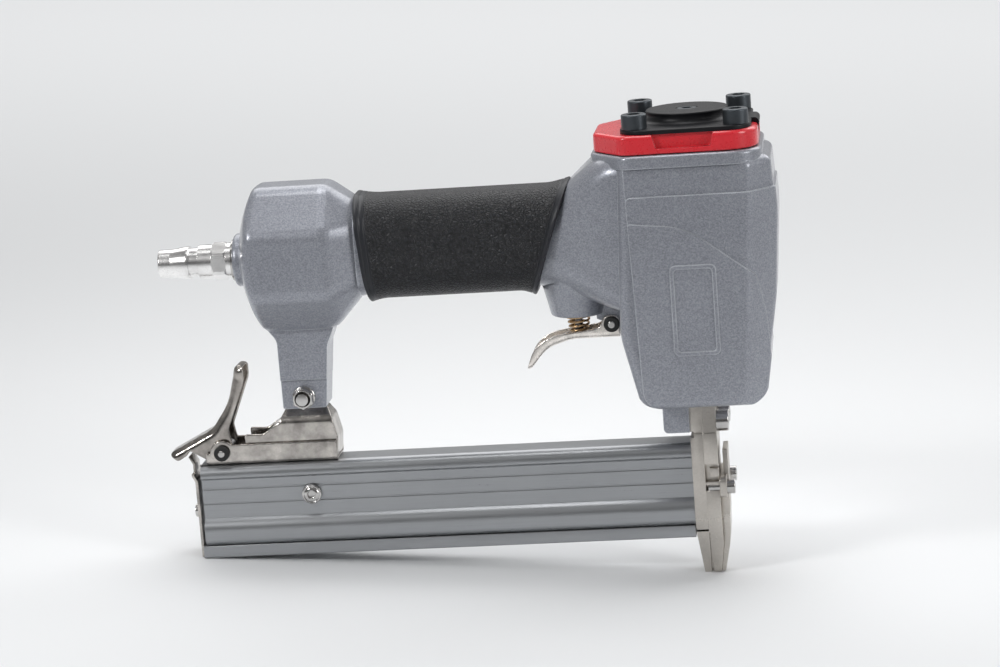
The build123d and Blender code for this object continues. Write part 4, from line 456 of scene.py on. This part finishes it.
def gripEnd(flare, lines):      # for each station from one end: how far in, how far out, how plain
    groove, run = grip["groove"], grip["flareRun"]
    stations = []
    for step in range(grip["lipSteps"] + 1):
        angle = math.pi / 2 * step / grip["lipSteps"]
        stations.append((grip["lip"] * (1 - math.cos(angle)), -grip["lip"] * (1 - math.sin(angle)), 1.0))
    for line in lines:
        stations += [(line - groove, 0.0, 1.0), (line, -groove, 1.0), (line + groove, 0.0, 1.0)]
    stations += [(lines[-1] + grip["plainRun"], 0.0, 0.0), (run * 0.75, 0.0, 0.0), (run, 0.0, 0.0)]
    flared = []
    for far, rise, rim in stations:
        flared.append((far, rise + flare * max(0.0, 1 - far / run) ** grip["flareCurve"], rim))
    return flared


def makeGrip():
    length = grip["front"] - grip["rear"]
    rear = gripEnd(grip["rearFlare"], grip["rearLines"])
    front = gripEnd(grip["frontFlare"], grip["frontLines"])
    run, steps = grip["flareRun"], grip["middleSteps"]
    middle = [(run + (length - 2 * run) * step / steps, 0.0, 0.0) for step in range(1, steps)]
    outside = rear + middle + [(length - far, rise, rim) for far, rise, rim in reversed(front)]
    inside = [(far, -grip["wall"], 1.0) for far in (length, length * 0.5, 0.0)]
    shape = bmesh.new()
    stepLayer = shape.verts.layers.int.new("step")
    rimLayer = shape.verts.layers.float.new("rim")
    count = 4 * (grip["flat"] + grip["arc"] + grip["top"])
    ring = bmesh.ops.create_circle(shape, segments=count, radius=1.0)["verts"]
    for step, corner in enumerate(ring):
        corner[stepLayer] = step
    edges = list(shape.edges)
    firstEdges = edges
    for number, (far, rise, rim) in enumerate(outside + inside):
        if number:
            grown = bmesh.ops.extrude_edge_only(shape, edges=edges)["geom"]
            ring = [part for part in grown if isinstance(part, bmesh.types.BMVert)]
            edges = [part for part in grown if isinstance(part, bmesh.types.BMEdge)]
        for corner in ring:
            y, z = gripCorner(corner[stepLayer], rise)
            share = z / grip["halfHeight"]
            back = grip["rear"] + grip["rearLean"] * share
            ahead = grip["front"] + grip["frontLean"] * share
            corner.co = (back + (ahead - back) * far / length, y, grip["axis"] + z)
            corner[rimLayer] = rim
    bmesh.ops.bridge_loops(shape, edges=firstEdges + edges)
    return settle(shape, "rubberGrip", "grip_sleeve", 55)


makeGrip()


def mergedCopy(node):      # a node's mesh with its loose triangles joined
    shape = bmesh.new()
    shape.from_mesh(nodes[node].data)
    bmesh.ops.remove_doubles(shape, verts=shape.verts, dist=0.002 * mm)
    return shape


def pieceName(start, node):
    return start + "".join(word.title() for word in node.split("_"))


# bend: the rounding of the fold along one edge of a pressed channel, on the side that out looks to
pressed = {
    "latch_lever": {"voxel": 0.26, "passes": 14, "keep": 0.45, "bend": 3.4, "along": (0.635, 0, 0.773),
                    "out": (-0.773, 0, 0.635)},
    "trigger": {"voxel": 0.22, "passes": 12, "keep": 0.45, "bend": 2.6, "along": (1, 0, 0),
                "out": (0, 0, -1)},
    "bracket_post": {"voxel": 0.28, "passes": 18, "keep": 0.40},
    "bracket_channel": {"voxel": 0.28, "passes": 10, "keep": 0.40, "bend": 3.0, "along": (1, 0, 0),
                        "out": (0, 0, -1)},
}


def rollFold(mesh, settings):      # draws the walls in along the fold, to a quarter round of the bend
    toTool = Matrix.Scale(1 / mm, 4) @ toolSpace.inverted()
    fromTool = toTool.inverted()
    along, out, bend = Vector(settings["along"]), Vector(settings["out"]), settings["bend"]
    points = [toTool @ vertex.co for vertex in mesh.vertices]
    half = max(abs(point.y) for point in points)
    start = min(point.dot(along) for point in points)
    edge = {}
    for point in points:
        slot = round(point.dot(along) - start)
        edge[slot] = max(edge.get(slot, -1000.0), point.dot(out))
    for vertex, point in zip(mesh.vertices, points):
        far = point.dot(along) - start
        slot = min(int(far), max(edge) - 1)
        slope = edge[slot + 1] - edge[slot]
        depth = (edge[slot] + slope * (far - slot) - point.dot(out)) / math.sqrt(1 + slope * slope)
        if depth < bend:
            room = half - bend + math.sqrt(max(0.0, bend ** 2 - (bend - max(depth, 0.0)) ** 2))
            point.y = max(-room, min(room, point.y))
            vertex.co = fromTool @ point


def pressSoft(node, settings):      # a copy of a pressed part whose sharp CAD edges are rolled over
    shape = mergedCopy(node)
    mesh = bpy.data.meshes.new(node + "Rough")
    shape.to_mesh(mesh)
    shape.free()
    for stage in ("voxels", "roll"):
        rough = bpy.data.objects.new(node + "Rough", mesh)
        bpy.context.scene.collection.objects.link(rough)
        if stage == "voxels":
            remesh = rough.modifiers.new("voxels", "REMESH")
            remesh.mode, remesh.voxel_size = "VOXEL", settings["voxel"] * mm
        else:
            smooth = rough.modifiers.new("roll", "SMOOTH")
            smooth.factor, smooth.iterations = 0.5, settings["passes"]
            rough.modifiers.new("thin", "DECIMATE").ratio = settings["keep"]
        bpy.context.view_layer.update()
        mesh = bpy.data.meshes.new_from_object(rough.evaluated_get(bpy.context.evaluated_depsgraph_get()))
        bpy.data.objects.remove(rough)
        if stage == "voxels" and "bend" in settings:
            rollFold(mesh, settings)
    return hangPiece(mesh, pieceName("pressed", node), node, 60)


for node, settings in pressed.items():
    pressSoft(node, settings)

# Plates, and the leg's bolt, whose edges are broken by a small round, in millimetres
broken = {"magazine_seat_plate": 0.28, "driver_guide": 0.28, "front_cover": 0.40, "end_plate": 0.22,
          "movable_magazine": 0.20, "leg_bolt": 0.5}


def breakEdges(node, width):
    shape = mergedCopy(node)
    bmesh.ops.dissolve_limit(shape, angle_limit=math.radians(1.0), verts=shape.verts, edges=shape.edges)
    sharp = [edge for edge in shape.edges if edge.is_manifold and edge.calc_face_angle() > math.radians(30)]
    bmesh.ops.bevel(shape, geom=sharp, offset=width * mm, offset_type="OFFSET", affect="EDGES", segments=3,
                    profile=0.5, material=-1, clamp_overlap=True)
    bmesh.ops.triangulate(shape, faces=[face for face in shape.faces if len(face.verts) > 4])
    mesh = bpy.data.meshes.new(node + "Broken")
    shape.to_mesh(mesh)
    shape.free()
    return hangPiece(mesh, pieceName("broken", node), node, 35)


for node, width in broken.items():
    breakEdges(node, width)

# The nut on the leg's bolt: a hexagon on its washer face, with a round top and a countersunk thread
legNut = {"flats": 8.0, "height": 4.2, "cornerCut": 1.12, "washer": 4.7, "washerHeight": 1.0,
          "washerEdge": 0.3, "shoulder": 0.55, "face": 3.85, "faceDrop": 0.06, "faceEdge": 0.3,
          "sink": 3.25, "sinkEdge": 0.15, "sinkDrop": 0.2, "thread": 2.6, "threadDrop": 1.8, "segments": 72}


def lowerTo(shape, loop, radius, height, around):      # the next ring of a turned or milled shape
    made = bmesh.ops.extrude_edge_only(shape, edges=loop)["geom"]
    for part in made:
        if isinstance(part, bmesh.types.BMVert):
            flat = Vector((part.co.x, part.co.y, 0)).normalized() * radius if around else part.co
            part.co = (flat.x, flat.y, height)
    return [part for part in made if isinstance(part, bmesh.types.BMEdge)]


def makeLegNut():
    shape = bmesh.new()
    across, top, edge = legNut["flats"] / 2, legNut["height"], legNut["washerEdge"]
    bmesh.ops.create_circle(shape, segments=legNut["segments"], radius=legNut["washer"])
    loop = list(shape.edges)
    loop = lowerTo(shape, loop, legNut["washer"], legNut["washerHeight"] - edge, True)
    loop = lowerTo(shape, loop, legNut["washer"] - edge, legNut["washerHeight"], True)
    made = bmesh.ops.extrude_edge_only(shape, edges=loop)["geom"]
    corners = [part for part in made if isinstance(part, bmesh.types.BMVert)]
    loop = [part for part in made if isinstance(part, bmesh.types.BMEdge)]
    for corner in corners:
        turn = math.atan2(corner.co.y, corner.co.x)
        off = (turn + math.pi / 6) % (math.pi / 3) - math.pi / 6
        reach = min(across / math.cos(off), across * legNut["cornerCut"])
        corner.co = (math.cos(turn) * reach, math.sin(turn) * reach, legNut["washerHeight"])
    loop = lowerTo(shape, loop, 0, top - legNut["shoulder"], False)
    loop = lowerTo(shape, loop, legNut["face"], top - legNut["faceDrop"], True)
    loop = lowerTo(shape, loop, legNut["face"] - legNut["faceEdge"], top, True)
    loop = lowerTo(shape, loop, legNut["sink"], top, True)
    loop = lowerTo(shape, loop, legNut["sink"] - legNut["sinkEdge"], top - legNut["sinkDrop"], True)
    loop = lowerTo(shape, loop, legNut["thread"], top - legNut["threadDrop"], True)
    lowerTo(shape, loop, legNut["thread"], 0, True)
    low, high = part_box("leg_nut")
    middle = toolSpace.inverted() @ ((low + high) / 2)
    seat = Vector((middle.x / mm, middle.y / mm + top / 2, middle.z / mm))
    bmesh.ops.rotate(shape, verts=shape.verts, matrix=Matrix.Rotation(math.radians(90), 3, "X"))
    bmesh.ops.translate(shape, verts=shape.verts, vec=seat)
    return settle(shape, "legNutTurned", "leg_nut", 32)


makeLegNut()

# The screw in the magazine's side: each ring is a radius and how far it lies under the head's crown
sideScrew = {"segments": 64, "shank": 2.0,
             "underHead": [(2.0, 2.4), (3.9, 2.4), (4.1, 2.2), (4.1, 1.1)],
             "rim": [(3.95, 0.7), (3.6, 0.45), (3.3, 0.5), (3.15, 0.64), (3.0, 0.45)],
             "crown": [(2.5, 0.12), (1.9, 0.0)],
             "socket": [(1.7, 0.08), (1.55, 0.3), (1.5, 1.4), (0.1, 1.6)]}


def makeSideScrew():
    shape = bmesh.new()
    low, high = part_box("side_screw")
    segments, shank = sideScrew["segments"], sideScrew["shank"]
    bmesh.ops.create_circle(shape, segments=segments, radius=shank, cap_ends=True)
    bmesh.ops.translate(shape, verts=shape.verts, vec=(0, 0, (low.y - high.y) / mm))
    loop = list(shape.edges)
    for stage in ("underHead", "rim", "crown", "socket"):
        for radius, drop in sideScrew[stage]:
            loop = lowerTo(shape, loop, radius, -drop, True)
    bmesh.ops.holes_fill(shape, edges=loop)
    middle = toolSpace.inverted() @ ((low + high) / 2)
    bmesh.ops.rotate(shape, verts=shape.verts, matrix=Matrix.Rotation(math.radians(90), 3, "X"))
    bmesh.ops.translate(shape, verts=shape.verts, vec=(middle.x / mm, low.y / mm, middle.z / mm))
    return settle(shape, "sideScrewTurned", "side_screw", 32)


makeSideScrew()


# Floor, light and camera

# sky pairs a height with a grey; low is the grey low down in front
stageSettings = {"floorSize": 14.0, "floorTone": (0.78, 0.79, 0.80, 1),
                 "sky": [(0.0, 0.30), (0.20, 0.33), (0.55, 0.26), (1.0, 0.22)], "low": 0.06}


def layFloor():
    shape = bmesh.new()
    bmesh.ops.create_grid(shape, x_segments=1, y_segments=1, size=stageSettings["floorSize"] / 2)
    mesh = bpy.data.meshes.new("floor")
    shape.to_mesh(mesh)
    shape.free()
    floor = bpy.data.objects.new("floor", mesh)
    bpy.context.scene.collection.objects.link(floor)
    tone = stageSettings["floorTone"]
    mesh.materials.append(newFinish("floorCard", Base_Color=tone, Roughness=0.62, Specular_IOR_Level=0.3)[0])


# In metres and degrees. A lamp stands at an offset from its aim, the middle of the tool where none is given.
lamps = {
    "overhead": {"power": 0.92, "size": (0.7, 0.4), "offset": (-0.05, 0.02, 0.90), "spread": 80},
    "leftFront": {"power": 0.46, "size": (0.24, 0.24), "offset": (-0.80, -0.80, 0.62), "spread": 50},
    "rightFront": {"power": 0.55, "size": (0.4, 0.6), "offset": (1.00, -0.45, 0.40), "spread": 60},
    "rightBack": {"power": 1.4, "size": (0.4, 0.6), "offset": (0.70, 0.60, 0.55), "spread": 180},
    "farFloor": {"power": 56.0, "size": (4.0, 2.4), "offset": (0, 0.1, 1.8), "aim": (0, 1.9, 0),
                 "spread": 180},
}


def addLamp(name, settings, middle):
    lamp = bpy.data.lights.new(name, "AREA")
    lamp.shape = "RECTANGLE"
    lamp.size, lamp.size_y = settings["size"]
    lamp.energy, lamp.spread = settings["power"], math.radians(settings["spread"])
    holder = bpy.data.objects.new(name, lamp)
    bpy.context.scene.collection.objects.link(holder)
    aim = Vector(settings.get("aim", middle))
    place = aim + Vector(settings["offset"])
    holder.location = place
    holder.rotation_euler = (aim - place).to_track_quat("-Z", "Y").to_euler()


def lightStage():      # a pale room, dimmer low down in front, so bright metal has something dark to show
    world = bpy.data.worlds.new("studio")
    bpy.context.scene.world = world
    world.use_nodes = True
    wire = Wire(world.node_tree)
    way = wire.node("TexCoord", {}, {}, "Generated")
    height = wire.node("SeparateXYZ", {}, {"Vector": way}, "Z")
    ahead = wire.node("SeparateXYZ", {}, {"Vector": way}, "Y")
    stops = [(up, grey(level)) for up, level in stageSettings["sky"]]
    sky = wire.node("ValToRGB", {"stops": stops}, {"Fac": height})
    dim = between(wire, ahead, -0.05, -0.75) * between(wire, height, 0.55, 0.10)
    tone = mixTone(wire, dim, sky, grey(stageSettings["low"]))
    back = world.node_tree.nodes["Background"]
    world.node_tree.links.new(tone.socket, back.inputs["Color"])
    back.inputs["Strength"].default_value = 1.0
    middle = (cadBox[0] + cadBox[1]) / 2
    for name, lamp in lamps.items():
        addLamp(name, lamp, middle)


cameraSettings = {"place": (0.14070, -1.17914, 0.35612), "azimuth": 6.126, "elevation": 12.367,
                  "roll": 0.100, "lens": 108, "sensor": 36, "reach": 50}


def setCamera():
    turn, tip = math.radians(cameraSettings["azimuth"]), math.radians(cameraSettings["elevation"])
    right = Vector((math.cos(turn), math.sin(turn), 0))
    ahead = Vector((-math.sin(turn) * math.cos(tip), math.cos(turn) * math.cos(tip), -math.sin(tip)))
    up = right.cross(ahead)
    roll = Matrix.Rotation(math.radians(cameraSettings["roll"]), 3, "Z")
    pose = Matrix((right, up, -ahead)).transposed() @ roll
    lens = bpy.data.cameras.new("camera")
    lens.lens, lens.sensor_width = cameraSettings["lens"], cameraSettings["sensor"]
    lens.clip_end = cameraSettings["reach"]
    camera = bpy.data.objects.new("camera", lens)
    bpy.context.scene.collection.objects.link(camera)
    camera.matrix_world = Matrix.Translation(cameraSettings["place"]) @ pose.to_4x4()
    bpy.context.scene.camera = camera


layFloor()
lightStage()
setCamera()
bpy.context.scene.view_settings.view_transform = "Standard"
print("floor, light and camera set")
